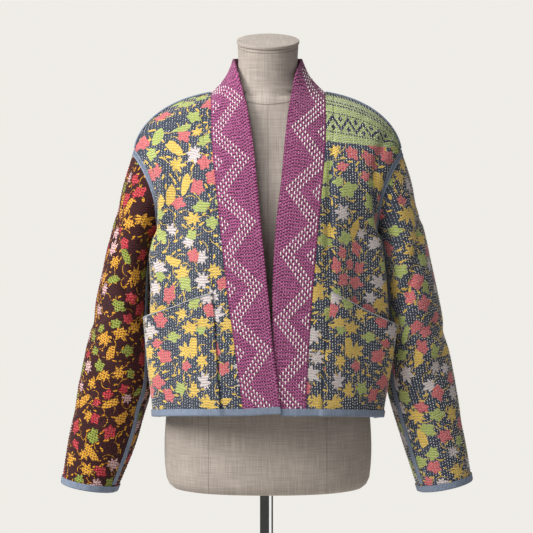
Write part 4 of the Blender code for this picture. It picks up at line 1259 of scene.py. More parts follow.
@dataclass(frozen=True)
class ZigzagStitch:
    """The collar's white running stitch: three zigzag lines, nested across the band."""

    row_gap: float = 0.0044
    lines: int = 3
    line_rows: int = 2
    climb_rows: int = 10
    tip_row: int = 13
    period: float = 0.104
    first_tip: float = 0.0994
    length: float = 0.0061
    width: float = 0.0030
    height: float = 0.0013
    wander: float = 0.00025
    seed: int = 8

    def lay(self, sheet: Sheet) -> Stitches:
        """Places the stitches where a row crosses the lines of the zigzag.

        From a tip, a line moves half a stitch along for each row, and turns back after ten
        rows. Each line's tip lies two rows nearer the seam than the last one's, and a second
        set of lines starts where the first one turns.

        Args:
            sheet: the collar, with U across from its seam and V along.

        Returns:
            The stitches.
        """
        chance = np.random.default_rng(self.seed)
        count = math.ceil(sheet.cloth[..., 1].max() / self.period) + 2
        tips = self.first_tip + np.arange(-1, count) * self.period
        rows, columns = [], []
        for row in range(1, self.tip_row + 1):
            steps = [start - self.line_rows * line - row for line in range(self.lines)
                     for start in (self.tip_row, self.tip_row - self.climb_rows)]
            steps = {way * step for step in steps if 0 <= step <= self.climb_rows for way in (1, -1)}
            moves = np.array(sorted(steps - {-self.climb_rows})) * self.period / (2 * self.climb_rows)
            v = (tips[:, None] + moves).ravel()
            v = v + chance.normal(0, self.wander, v.shape)
            place, column, on = sheet.places(np.array([row * self.row_gap]), v)
            on &= (column > 0.3) & (column < sheet.cloth.shape[1] - 1.3)
            rows.append(place[on])
            columns.append(column[on])
        return Stitches(np.concatenate(rows), np.concatenate(columns))


def from_edge(sheet: Sheet, distance: float | ndarray) -> tuple[ndarray, ndarray]:
    """Points and normals of a sheet at a distance in from its first row, column by column.

    Args:
        sheet: the cloth.
        distance: how far in, for all columns or for each.

    Returns:
        The points and their normals.
    """
    grid, normals = sheet.middle[:EDGE_ROWS], sheet.normals[:EDGE_ROWS]
    run = run_length(grid, axis=0)
    wanted = np.broadcast_to(distance, run.shape[1:])[:, None]
    row = row_interp(wanted, run.T, np.arange(len(grid))[None, :]).T
    low = np.clip(np.floor(row).astype(int), 0, len(grid) - 2)[0]
    share = (row[0] - low)[:, None]
    column = np.arange(grid.shape[1])
    points = grid[low, column] * (1 - share) + grid[low + 1, column] * share
    facing = normals[low, column] * (1 - share) + normals[low + 1, column] * share
    return points, facing


@dataclass(frozen=True)
class Tape:
    """Woven binding tape, by its thickness and the air under it."""

    thickness: float = 0.0012
    air: float = 0.0006
    crease_air: float = 0.0009
    pucker: float = 0.0009
    pucker_waves: tuple[tuple[float, float], ...] = ((0.019, 0.0), (0.0323, 1.3))

    def folded(self, sheet: Sheet, width: float, cloth: float, lift: ndarray | float = 0.0,
               closed: bool = False) -> Sheet:
        """A tape folded over a sheet's first row, with a round fold.

        Down the outer face it goes straight, puckered by two sines of its run, then round half
        a circle that clears the edge, and up the inner face.

        Args:
            sheet: the cloth, whose first row is the edge.
            width: how far the tape reaches up the cloth.
            cloth: the cloth's thickness.
            lift: how much farther it stands out in front, column by column.
            closed: True round a cuff.

        Returns:
            The tape's own sheet, its rows going round the fold.
        """
        clear = self.air + self.thickness / 2
        run = run_length(sheet.middle[:1], axis=1)[0]
        waves = sum(np.sin(run * 2 * math.pi / length + start) for length, start in self.pucker_waves)
        outside = cloth / 2 + clear + lift + self.pucker * (0.5 + waves / 4)
        inside = (cloth / 2 + clear) * np.ones(sheet.middle.shape[1])
        down = unit(sheet.middle[0] - sheet.middle[1])
        lines = []
        for share in (1.0, 0.75, 0.5, 0.25, 0.06):
            points, facing = from_edge(sheet, share * width)
            lines.append(points + unit(facing) * outside[:, None])
        for turn in np.radians((20, 50, 90, 130, 160)):
            reach = np.where(turn < math.pi / 2, outside, inside)[:, None] * math.cos(turn)
            lines.append(sheet.middle[0] + sheet.normals[0] * reach + down * clear * math.sin(turn))
        for share in (0.06, 0.5, 1.0):
            points, facing = from_edge(sheet, share * width)
            lines.append(points - unit(facing) * inside[:, None])
        return self.outward(np.stack(lines), sheet.normals[0], closed)

    def flat(self, lines: list[ndarray], offsets: list[ndarray], cloth: float,
             air: float) -> Sheet:
        """A tape that lies on the cloth along lines of points, each moved out by its offset.

        Args:
            lines: points in order, line beside line.
            offsets: which way each point moves out.
            cloth: the cloth's thickness.
            air: the gap under the tape.

        Returns:
            The tape's sheet.
        """
        lift = cloth / 2 + air + self.thickness / 2
        grid = np.stack([line + offset * lift for line, offset in zip(lines, offsets)])
        return self.outward(grid, offsets[len(offsets) // 2], False)

    def over_seam(self, beside: list[tuple[ndarray, ndarray]], middle: tuple[ndarray, ndarray],
                  keep: ndarray, cloth: float) -> Sheet:
        """A tape over a seam.

        Args:
            beside: on each side of the seam the outer line and the inner one, with their offsets.
            middle: the seam itself, with its offsets.
            keep: which of the points the tape covers, in their order.
            cloth: the cloth's thickness.

        Returns:
            The tape's sheet.
        """
        rows = [beside[0], beside[1], middle, beside[3], beside[2]]
        return self.flat([line[keep] for line, _ in rows], [offset[keep] for _, offset in rows], cloth,
                         self.air)

    def outward(self, grid: ndarray, facing: ndarray, closed: bool) -> Sheet:
        """A sheet from a grid, its normals turned the way that facing points.

        Args:
            grid: rows x columns x 3 points.
            facing: a vector for each column.
            closed: True for a tube.

        Returns:
            The sheet.
        """
        made = Sheet.from_grid(grid, 1, closed=closed)
        if (made.normals[: 3 if len(grid) > 3 else None].mean(axis=0) * facing).sum() < 0:
            made.normals = -made.normals
        return made


@dataclass
class Patchwork:
    """The cloth of the jacket, piece by piece, with its seams mitred as the solids' are."""

    form: JacketForm = field(default_factory=JacketForm)
    cloth: float = 0.0025
    pocket_air: float = 0.0007
    pocket_rows: int = 64
    pocket_sewn: float = 0.05
    pocket_crease: float = 1.4
    gape_rise: float = 2.5
    gape_skew: float = 1.6
    gape_round: float = 0.8
    hem_tape: float = 0.0105
    cuff_tape: float = 0.0100
    armhole_tape: float = 0.0055
    armhole_columns: int = 4
    armhole_rows: int = 3
    armpit_gap: int = 3
    shoulder_tape: float = 0.0095
    seam_tape: float = 0.0045
    seam_columns: int = 3
    seam_rows: int = 5
    seam: float = 0.0003
    mouths: dict[Side, tuple[float, float, float]] = field(
        default_factory=lambda: {Side.RIGHT: (0.390, 0.302, 0.0075), Side.LEFT: (0.395, 0.258, 0.0100)}
    )

    def __post_init__(self) -> None:
        """Works out every sheet, then the offsets that they share at their seams."""
        form = self.form
        self.fronts = {side: form.front(side) for side in Side}
        self.back = form.back()
        self.sleeves = {side: form.sleeve(side, self.fronts[side], self.back) for side in Side}
        self.collar = form.collar(self.fronts, self.back)
        for side in Side:
            self.share_seams(side)
        self.share_neck()

    @property
    def panel_start(self) -> int:
        """The column where a front's panel starts beside its strip."""
        return self.form.strip_columns

    @property
    def pocket_last(self) -> int:
        """The panel's column where its pocket ends, ten elevenths of the way to the side."""
        return round((self.form.panel_columns + 1) * 10 / 11)

    @property
    def neck_middle(self) -> int:
        """The back's middle column."""
        return self.back.middle.shape[1] // 2

    def edge(self, side: Side) -> int:
        """The back's column at one side."""
        return 0 if side is Side.RIGHT else -1

    def share_seams(self, side: Side) -> None:
        """Mitres the side seam, the armhole and the shoulder seam of one side.

        Args:
            side: the wearer's side.
        """
        low, arm = self.form.low_rows, self.form.arm_rows
        front, back = self.fronts[side].normals, self.back.normals
        sleeve = np.roll(self.sleeves[side].normals, self.form.sleeve_seam_column, axis=1)
        edge, ring = self.edge(side), sleeve.shape[1]
        weld((front, np.s_[:low, -1]), (back, np.s_[:low, edge]))
        steps = np.arange(1, arm)
        shoulder = np.arange(self.form.strip_columns + self.form.panel_columns)
        halves = self.neck_middle + side.value * (self.form.neck_columns + shoulder)
        weld((front, (-1, shoulder)), (back, (-1, halves)))
        for row, column in ((low, arm), (-1, 0)):
            weld((front, ([row], -1)), (back, ([row], edge)), (sleeve, (0, [column])))
        weld((front, (-1 - steps, -1)), (sleeve, (0, steps)))
        weld((back, (-1 - steps, edge)), (sleeve, (0, ring - steps)))
        self.sleeves[side].normals[:] = np.roll(sleeve, -self.form.sleeve_seam_column, axis=1)

    def share_neck(self) -> None:
        """Mitres the collar's seam with both fronts and the back's neckline."""
        band, neck = self.collar.normals, self.form.neck_columns
        rows = len(self.form.levels)
        right, left = self.fronts[Side.RIGHT].normals, self.fronts[Side.LEFT].normals
        weld((right, np.s_[:, 0]), (band, np.s_[:rows, 0]))
        weld((left, np.s_[:, 0]), (band[::-1], np.s_[:rows, 0]))
        steps = np.arange(1, 2 * neck)
        places = self.neck_middle - neck + steps
        weld((self.back.normals, (-1, places)), (band, (rows - 1 + steps, 0)))
        self.back.normals[-1, self.neck_middle - neck] = right[-1, 0]
        self.back.normals[-1, self.neck_middle + neck] = left[-1, 0]

    def pocket(self, side: Side) -> Sheet:
        """A patch pocket on its panel's own points, moved out, and gaping at its mouth.

        It gapes as height^rise times sin(pi across^skew)^round.

        Args:
            side: the wearer's side.

        Returns:
            The sheet.
        """
        inner, outer, gape = self.mouths[side]
        front = self.fronts[side].part(slice(self.panel_start, None))
        last = self.pocket_last
        across = np.linspace(0, 1, last + 1)[None, :]
        share = np.linspace(0, 1, self.pocket_rows)[:, None]
        level = share * (inner + (outer - inner) * across)
        row = np.interp(level, self.form.levels, np.arange(len(self.form.levels)))
        column = np.broadcast_to(np.arange(last + 1)[None, :], row.shape)
        base = blend_grid(front.middle, row, column)
        facing = blend_grid(front.normals, row, column)
        gape = gape * share**self.gape_rise * np.sin(math.pi * across**self.gape_skew) ** self.gape_round
        grid = base + facing * (self.cloth + self.pocket_air + gape)[..., None]
        sheet = Sheet.from_grid(grid, side.value, grain=(Run.ACROSS, self.form.sideways))
        creases = sheet.crease_height(CREASES[f"pocket_{side.word}"])
        round_edge = smooth_step(0, 0.12, across) * smooth_step(1, 0.88, across)
        round_edge = round_edge * smooth_step(0, 0.1, share) * smooth_step(0, 0.3, share)
        sheet = sheet.raised(np.maximum(creases, 0) * round_edge * self.pocket_crease, side.value)
        sheet.normals[share[:, 0] < self.pocket_sewn] = facing[share[:, 0] < self.pocket_sewn]
        return sheet

    def hem_front(self, side: Side) -> tuple[Sheet, ndarray]:
        """The edge that one front's hem binding covers, from the collar's free edge to the side.

        Args:
            side: the wearer's side.

        Returns:
            The edge as a sheet, and how much the pocket adds to each of its columns.
        """
        rows = slice(0, EDGE_ROWS) if side is Side.RIGHT else slice(-1, -EDGE_ROWS - 1, -1)
        grid, normals = (
            np.concatenate([band[rows][:, :0:-1], front[:EDGE_ROWS]], axis=1)
            for band, front in ((self.collar.middle, self.fronts[side].middle),
                                (self.collar.normals, self.fronts[side].normals))
        )
        lift = np.zeros(grid.shape[1])
        start = self.form.band_columns + self.panel_start
        lift[start : start + self.pocket_last + 1] = self.cloth + self.pocket_air
        ramp = np.convolve(np.pad(lift, 3, mode="edge"), np.ones(3) / 3, mode="same")[3:-3]
        sheet = Sheet(grid, normals, np.zeros(grid.shape[:2] + (2,)))
        return sheet.trimmed(Edge.LAST_COLUMN), np.maximum(lift, ramp)

    def armhole_line(self, side: Side, tape: Tape) -> Sheet:
        """The tape round the armhole, part on the body and part on the sleeve.

        Args:
            side: the wearer's side.
            tape: the tape.

        Returns:
            The tape's sheet.
        """
        low, arm, edge = self.form.low_rows, self.form.arm_rows, self.edge(side)
        reach, gap = self.armhole_columns, self.armpit_gap
        back_inner = reach if side is Side.RIGHT else -1 - reach
        front, back, sleeve = self.fronts[side], self.back, self.sleeves[side]
        rings = [np.roll(values, self.form.sleeve_seam_column, axis=1)
                 for values in (sleeve.middle, sleeve.normals)]

        def loop(column: int, back_column: int, values: str) -> ndarray:
            """Values round the armhole on one column of the front and one of the back."""
            upper = getattr(front, values)[low:, column][::-1]
            return np.concatenate([upper, getattr(back, values)[low:, back_column][1:-1]])

        seam = loop(-1, edge, "middle")
        inner, inner_normals = (loop(-1 - reach, back_inner, values) for values in ("middle", "normals"))
        near = np.abs(np.arange(len(seam)) - arm) < reach
        inner[near] = front.middle[low - reach, -1]
        inner_normals[near] = front.normals[low - reach, -1]
        beside = []
        for towards, facing in ((inner, inner_normals), (values[self.armhole_rows] for values in rings)):
            share = (self.armhole_tape / np.linalg.norm(towards - seam, axis=-1))[:, None]
            for part in (1.0, 0.5):
                beside.append((seam + (towards - seam) * share * part,
                               rings[1][0] + (facing - rings[1][0]) * share * part))
        order = np.arange(arm + gap, 3 * arm - gap + 1) % (2 * arm)
        return tape.over_seam(beside, (seam, rings[1][0]), order, self.cloth)

    def shoulder_line(self, side: Side, tape: Tape) -> Sheet:
        """The tape over the shoulder seam, from the collar to the armhole's tape.

        Args:
            side: the wearer's side.
            tape: the tape.

        Returns:
            The tape's sheet.
        """
        start = self.neck_middle + side.value * self.form.neck_columns
        stop = None if side is Side.RIGHT else self.back.middle.shape[1]
        columns = slice(start, stop, side.value)
        front = self.fronts[side]
        beside = []
        for values, facing in ((front.middle, front.normals),
                               (self.back.middle[:, columns], self.back.normals[:, columns])):
            sheet = Sheet(values[::-1], facing[::-1], np.zeros(values.shape[:2] + (2,)))
            beside += [from_edge(sheet, self.shoulder_tape / 2 * part) for part in (1.0, 0.5)]
        run = run_length(front.middle[-1][:, None], axis=0)[:, 0]
        keep = (run >= self.seam) & (run <= run[-1] - self.armhole_tape - 2 * tape.thickness)
        return tape.over_seam(beside, (front.middle[-1], front.normals[-1]), keep, self.cloth)

    def sleeve_line(self, side: Side, tape: Tape) -> Sheet:
        """The tape down the sleeve's seam, from the armhole's tape to the cuff's.

        Args:
            side: the wearer's side.
            tape: the tape.

        Returns:
            The tape's sheet.
        """
        sleeve = self.sleeves[side]
        lines, offsets = [], []
        for direction, part in ((-1, 1.0), (-1, 0.5), (1, 0.0), (1, 0.5), (1, 1.0)):
            column = self.seam_columns * direction
            step = sleeve.middle[:, column] - sleeve.middle[:, 0]
            length = np.linalg.norm(step, axis=-1)[:, None]
            share = np.minimum(self.seam_tape * part / length, 1)
            lines.append(sleeve.middle[:, 0] + step * share)
            between = sleeve.normals[:, column] - sleeve.normals[:, 0]
            offsets.append(sleeve.normals[:, 0] + between * share)
        keep = slice(self.seam_rows, -self.seam_rows)
        return tape.flat([line[keep] for line in lines], [offset[keep] for offset in offsets],
                         self.cloth, tape.crease_air)


# Dress form and stand


@dataclass
class DressForm:
    """The linen covered form: hips, waist and bust below the shoulders, then the neck and cap."""

    shape: JacketForm = field(default_factory=JacketForm)
    points: int = 144
    first_even: int = 4
    last_even: int = 13
    torso_step: float = 0.009
    neck_rings: int = 18
    shift: float = 0.0025
    lean: float = 0.005
    stations: tuple[float, ...] = (0.163, 0.152, 0.140, 0.127, 0.113, 0.100)
    shoulder_front: tuple[float, float] = (0.066, 0.058)
    shoulder_back: tuple[float, float] = (0.065, 0.053)
    shoulder_bend: tuple[float, float] = (1.5, 1.4)
    shoulder_taper: tuple[float, float] = (0.80, 0.78)
    ridge_span: tuple[float, float] = (0.085, 0.190)
    ridge_end: float = 0.999
    ridge_half: float = 0.002
    dip: float = 0.0015
    dip_span: tuple[float, float] = (0.125, 0.100)
    arm_end_room: float = 0.02
    under_cloth: float = 0.12
    under_gap: float = 0.0055
    under_collar: tuple[float, float] = (0.035, 0.070)
    cloth: float = 0.0025
    rest_gap: float = 0.0005
    tilt: float = math.radians(14)
    seam: float = 0.0003
    cap_thickness: float = 0.0055
    cap_rounding: float = 0.0015
    cap_overhang: float = 0.0015

    def shoulder_rows(self) -> tuple[FormRow, ...]:
        """The sections across the shoulders, just under the jacket's shoulder seams."""
        half = np.linspace(*self.ridge_span, 60)
        ones = np.ones(len(half))
        drops = []
        for side in Side:
            phi = self.shape.phi_at(side, half + side.value * self.shift, ones)
            points = self.shape.body_point(side, Face.FRONT, phi, ones)
            drops.append(self.shape.neck_height - points[:, 2])
        drop = np.maximum(*drops)
        slope = np.gradient(drop, half)
        below = self.cloth / 2 + self.rest_gap + self.dip * smooth_step(*self.dip_span, half)
        length = np.sqrt(1 + slope**2)
        x, y = half - slope / length * below, drop + below / length
        rows = []
        for step, station in enumerate(self.stations):
            share = step / (len(self.stations) - 1)
            mixed = [ends[0] + (ends[1] - ends[0]) * share
                     for ends in (self.shoulder_front, self.shoulder_back, self.shoulder_bend,
                                  self.shoulder_taper)]
            rows.append(FormRow(float(np.interp(station, x, y)), station, *mixed, self.lean, 0.0))
        return tuple(rows)

    @staticmethod
    def between(table: tuple[FormRow, ...], drops: ndarray) -> tuple[FormRow, ...]:
        """Rows of a table at other drops, on the smooth curve through its own.

        Args:
            table: the known rows.
            drops: where to read them.

        Returns:
            One row for each drop.
        """
        rising = tuple(sorted(table))
        columns = [table_curve(rising, name, drops) for name in FormRow._fields[1:]]
        return tuple(FormRow(*map(float, values)) for values in zip(drops, *columns))

    def limit(self, face: Face, x: ndarray, drop: float) -> ndarray:
        """How far forward or back the form may reach at each x, to stay inside the jacket.

        Args:
            face: front or back.
            x: places across.
            drop: how far below the neck.

        Returns:
            The limit of Y at each place.
        """
        level = np.linspace(self.shape.back_match_level, 1, 60)[None, :]
        place = x + self.shift
        reach = np.minimum(np.abs(place), self.stations[0] + self.arm_end_room)[:, None]
        target = np.full((len(x), 1), self.shape.neck_height - drop + self.under_gap)
        limits = np.zeros(len(x))
        for side in Side:
            phi = self.shape.phi_at(side, reach, level)
            points = self.shape.body_point(side, face, phi, level)
            found = row_interp(target, points[..., 2], points[..., 1])[:, 0]
            limits = np.where(np.sign(place) == side.value, found, limits)
        if face is Face.FRONT:
            return np.minimum(limits + self.under_gap, self.lean - self.ridge_half)
        return np.maximum(limits - self.under_gap, self.lean + self.ridge_half)

    def ring(self, row: FormRow) -> ndarray:
        """One section: its depth at x is (1 - |x / half|^bend)^taper of its depth in the middle.

        Args:
            row: the section's sizes.

        Returns:
            Its points, counterclockwise from above.
        """
        angle = turn_angles(self.points)
        x = row.half * np.cos(angle)
        depth = np.where(np.sin(angle) < 0, row.front, row.back)
        narrow = np.clip(1 - np.abs(np.cos(angle)) ** row.bend, 0, 1) ** row.taper
        y = row.lean + np.sign(np.sin(angle)) * depth * narrow
        if row.drop < self.under_cloth and row.half >= self.stations[-1]:
            inside = np.clip(y, self.limit(Face.FRONT, x, row.drop), self.limit(Face.BACK, x, row.drop))
            covered = smooth_step(*self.under_collar, np.abs(x)) * (np.abs(x) < self.ridge_end * row.half)
            y = y + (inside - y) * covered
        z = self.shape.neck_height - row.drop + y * math.tan(self.tilt * row.tilt)
        return np.stack([x + self.shift, y, z], axis=-1)

    def rings(self) -> ndarray:
        """All the sections from the hips to the top of the neck."""
        low, high = TORSO[self.first_even].drop, TORSO[self.last_even].drop
        drops = np.linspace(low, high, round((low - high) / self.torso_step))
        neck = np.linspace(NECK[0].drop, NECK[-1].drop, self.neck_rings)
        rows = TORSO[: self.first_even] + self.between(TORSO[self.first_even - 1 :], drops)
        rows += TORSO[self.last_even + 1 :] + self.shoulder_rows() + self.between(NECK, neck)
        return np.stack([self.ring(row) for row in rows])

    def build(self, linen: Material) -> list[Object]:
        """Makes the body and its cap.

        Args:
            linen: the cover's finish.

        Returns:
            The body and the cap.
        """
        rings = self.rings()
        body = loft_object("linen_form", rings, linen)
        up = np.array([0, -math.sin(self.tilt), math.cos(self.tilt)])
        top = rings[-1]
        middle = top.mean(axis=0)
        heights = np.array([0.0, 0.06, 0.5, 0.94, 1.0]) * (self.cap_thickness - 2 * self.cap_rounding)
        steps = [(0.0, 1.0), (0.12, 0.5), (0.5, 0.13), (1.0, 0.0)]
        rows = [(self.seam + self.cap_rounding * rise, self.cap_rounding * inset) for rise, inset in steps]
        rows += [(self.seam + self.cap_rounding + height, 0.0) for height in heights[1:-1]]
        rows += [(self.seam + self.cap_thickness - self.cap_rounding * rise, self.cap_rounding * inset)
                 for rise, inset in reversed(steps)]
        cap = np.stack([top + up * rise - unit(top - middle) * (inset - self.cap_overhang)
                        for rise, inset in rows])
        return [body, loft_object("linen_cap", cap, linen)]


def loft_object(name: str, rings: ndarray, material: Material,
                sharp: float = 45.0) -> Object:
    """Makes a closed solid through rings of points, its ends filled to their middles.

    Args:
        name: the object's name.
        rings: rings x points x 3, from the bottom up, each counterclockwise from above.
        material: its finish.
        sharp: angle in degrees above which an edge stays crisp.

    Returns:
        The object, with lengths around and along as its cloth coordinates.
    """
    count, points = rings.shape[:2]
    low, high = rings[0].mean(axis=0), rings[-1].mean(axis=0)
    places = np.concatenate([rings.reshape(-1, 3), [low, high]])
    index = np.arange(count * points).reshape(count, points)
    index = joined(index)
    closed = joined(rings)
    around = run_length(closed, 1)
    cloth = np.stack([around - around[:, [points * 3 // 4]], closed[..., 2]], axis=-1)
    cells = cell_corners(index)
    marks = cloth.reshape(-1, 2)[cell_corners(np.arange(index.size).reshape(index.shape))]
    faces, corners = [], []
    for ring, centre, turned in ((0, count * points, True), (-1, count * points + 1, False)):
        first, second = index[ring, :-1], index[ring, 1:]
        middle = np.full(points, centre)
        fan = np.stack([second, first, middle] if turned else [first, second, middle], -1)
        faces += fan.tolist()
        corners.append((places[fan][..., :2]).reshape(-1, 2))
    mesh = bpy.data.meshes.new(name)
    mesh.from_pydata(places.tolist(), [], cells.tolist() + faces)
    layer = mesh.uv_layers.new(name="cloth")
    flat = np.concatenate([marks.reshape(-1, 2), *corners]).astype(np.float32)
    layer.data.foreach_set("uv", flat.ravel())
    mesh.materials.append(material)
    mesh.shade_smooth()
    mesh.set_sharp_from_angle(angle=math.radians(sharp))
    return linked(name, mesh)


@dataclass(frozen=True)
class Stand:
    """The steel tube under the form and the round plate that it stands on."""

    points: int = 96
    pole_radius: float = 0.011
    base_radius: float = 0.175
    base_thickness: float = 0.010
    base_bevel: float = 0.003
    form_bottom: float = 0.729
    seam: float = 0.0003
    pole_edge: float = 0.0006
    base_lip: float = 0.001

    def turned(self, profile: tuple[tuple[float, float], ...]) -> ndarray:
        """Rings of a solid of revolution, from a profile of radii and heights.

        Args:
            profile: radii and heights, from the bottom up.

        Returns:
            rings x points x 3.
        """
        angle = turn_angles(self.points)
        circle = np.stack([np.cos(angle), np.sin(angle), np.zeros(self.points)], axis=-1)
        radius, height = np.array(profile).T
        rings = circle[None] * radius[:, None, None]
        rings[..., 2] = height[:, None]
        return rings

    def build(self, steel: Material) -> list[Object]:
        """Makes the pole and the base.

        Args:
            steel: their finish.

        Returns:
            The pole and the base.
        """
        low, high = self.base_thickness + self.seam, self.form_bottom - self.seam
        edge, lip = self.pole_edge, self.base_lip
        pole = ((self.pole_radius - edge, low), (self.pole_radius, low + edge),
                (self.pole_radius, low + 4 * edge), (self.pole_radius, high - 4 * edge),
                (self.pole_radius, high - edge), (self.pole_radius - edge, high))
        top, bevel, radius = self.base_thickness, self.base_bevel, self.base_radius
        base = [(radius - lip, 0.0), (radius, lip), (radius, top - bevel)]
        for turn in np.radians((22.5, 45, 67.5, 90)):
            base.append((radius - bevel * (1 - math.cos(turn)), top - bevel * (1 - math.sin(turn))))
        base += [(radius * 0.6, top - 1e-5), (0.016, top - 2e-5)]
        return [loft_object("steel_pole", self.turned(pole), steel),
                loft_object("steel_base", self.turned(tuple(base)), steel)]


# Finishes

Colour = tuple[float, float, float]


def reckoning(operation: str, swapped: bool = False) -> Callable[[Value, object], Value]:
    """A method that makes one Math node of a value and another.

    Args:
        operation: the node's operation.
        swapped: True where the other value comes first.

    Returns:
        The method.
    """

    def method(self: Value, other: object) -> Value:
        """Adds the node to the value's own graph."""
        return self.graph.math(operation, *((other, self) if swapped else (self, other)))

    return method


@dataclass(frozen=True, eq=False)
class Value:
    """A socket's value, which can be reckoned with like a number."""

    graph: Graph
    socket: NodeSocket

    __add__ = __radd__ = reckoning("ADD")
    __sub__, __rsub__ = reckoning("SUBTRACT"), reckoning("SUBTRACT", True)
    __mul__ = __rmul__ = reckoning("MULTIPLY")
    __truediv__, __rtruediv__ = reckoning("DIVIDE"), reckoning("DIVIDE", True)
    __pow__ = reckoning("POWER")
    __lt__, __gt__ = reckoning("LESS_THAN"), reckoning("GREATER_THAN")

    def __abs__(self) -> Value:
        """The value without its sign."""
        return self.graph.math("ABSOLUTE", self)


class Graph:
    """A node tree with short calls that add its nodes and link them."""

    def __init__(self, tree: NodeTree) -> None:
        """Takes the tree to build in."""
        self.tree = tree

    def node(self, kind: str, feeds: dict[str | int, object] | None = None, **settings: object) -> Node:
        """Adds a node.

        Args:
            kind: its type.
            feeds: values of its inputs, by their names or numbers.
            settings: its properties.

        Returns:
            The node.
        """
        made = self.tree.nodes.new(kind)
        for name, value in settings.items():
            setattr(made, name, value)
        for key, value in (feeds or {}).items():
            self.feed(made.inputs[key], value)
        return made

    def feed(self, socket: NodeSocket, value: object) -> None:
        """Links a socket to an input, or sets the input's own value, a colour with alpha 1."""
        value = getattr(value, "socket", value)
        if isinstance(value, NodeSocket):
            self.tree.links.new(value, socket)
        elif value is not None:
            socket.default_value = (*value, 1) if socket.type == "RGBA" else value

    def math(self, operation: str, *values: object, clamp: bool = False) -> Value:
        """One Math node."""
        made = self.node("ShaderNodeMath", dict(enumerate(values)), operation=operation, use_clamp=clamp)
        return Value(self, made.outputs[0])

    def vector(self, operation: str, *values: object) -> Value:
        """One Vector Math node, by its vector result, or its value for a length."""
        made = self.node("ShaderNodeVectorMath", dict(enumerate(values)), operation=operation)
        return Value(self, made.outputs["Value" if operation == "LENGTH" else "Vector"])

    def scaled(self, vector: object, factor: float) -> Value:
        """A vector times a number."""
        made = self.node("ShaderNodeVectorMath", {0: vector, "Scale": factor}, operation="SCALE")
        return Value(self, made.outputs["Vector"])

    def turned(self, vector: object, angle: object) -> Value:
        """A vector turned round Z."""
        made = self.node("ShaderNodeVectorRotate", {"Vector": vector, "Angle": angle},
                         rotation_type="Z_AXIS")
        return Value(self, made.outputs[0])

    def split(self, vector: object) -> tuple[Value, ...]:
        """The X, Y and Z of a vector."""
        made = self.node("ShaderNodeSeparateXYZ", {0: vector})
        return tuple(Value(self, socket) for socket in made.outputs)

    def join(self, *values: object) -> Value:
        """A vector from its two or three values."""
        return Value(self, self.node("ShaderNodeCombineXYZ", dict(enumerate(values))).outputs[0])

    def mix(self, share: object, first: object, second: object, blend: str = "MIX") -> Value:
        """A mix of two colours.

        Args:
            share: how much of the second.
            first: a colour.
            second: another.
            blend: how they mix.

        Returns:
            The mixed colour.
        """
        made = self.node("ShaderNodeMix", data_type="RGBA", blend_type=blend)
        for key, value in (("Factor", share), (6, first), (7, second)):
            self.feed(made.inputs[key], value)
        return Value(self, made.outputs[2])

    def noise(self, vector: object, scale: float, detail: float, roughness: float = 0.5) -> Value:
        """Noise by its value, from 0 to 1."""
        made = self.node("ShaderNodeTexNoise", {"Vector": vector, "Scale": scale, "Detail": detail,
                                                "Roughness": roughness})
        return Value(self, made.outputs["Fac"])

    def place(self) -> NodeSocket:
        """Places on the object, in metres."""
        return self.node("ShaderNodeTexCoord").outputs["Object"]

    def group(self, tree: NodeTree, **values: object) -> dict[str, Value]:
        """Places a group and feeds its inputs by name. Gives its results by name.

        Args:
            tree: the group.
            values: its inputs, by name.

        Returns:
            Its outputs, by name.
        """
        made = self.node("ShaderNodeGroup", node_tree=tree)
        for name, value in values.items():
            self.feed(made.inputs[name], value)
        return {socket.name: Value(self, socket) for socket in made.outputs}


PALETTE = ("Ground", "Lime", "Yellow", "Coral", "White")


class EffectGroup:
    """A shader node group over a place on the cloth, with named values in and out."""

    def __init__(self, name: str, inputs: str, outputs: str) -> None:
        """Makes the group and its sockets.

        Args:
            name: the group's name.
            inputs: names of its inputs, apart from Cloth.
            outputs: names of its outputs.
        """
        self.tree = bpy.data.node_groups.new(name, "ShaderNodeTree")
        for way, labels in (("INPUT", f"Cloth {inputs}"), ("OUTPUT", outputs)):
            for label in labels.split():
                kind = "Color" if label in ("Colour", *PALETTE) else "Float"
                kind = "Vector" if label == "Cloth" else kind
                self.tree.interface.new_socket(name=label, in_out=way, socket_type=f"NodeSocket{kind}")
        self.graph = Graph(self.tree)
        self.given = {socket.name: Value(self.graph, socket)
                      for socket in self.graph.node("NodeGroupInput").outputs}
        self.outputs = self.graph.node("NodeGroupOutput").inputs

    def put(self, **values: Value) -> NodeTree:
        """Links results to the outputs of their names, and gives the finished group."""
        for name, value in values.items():
            self.graph.feed(self.outputs[name], value)
        return self.tree


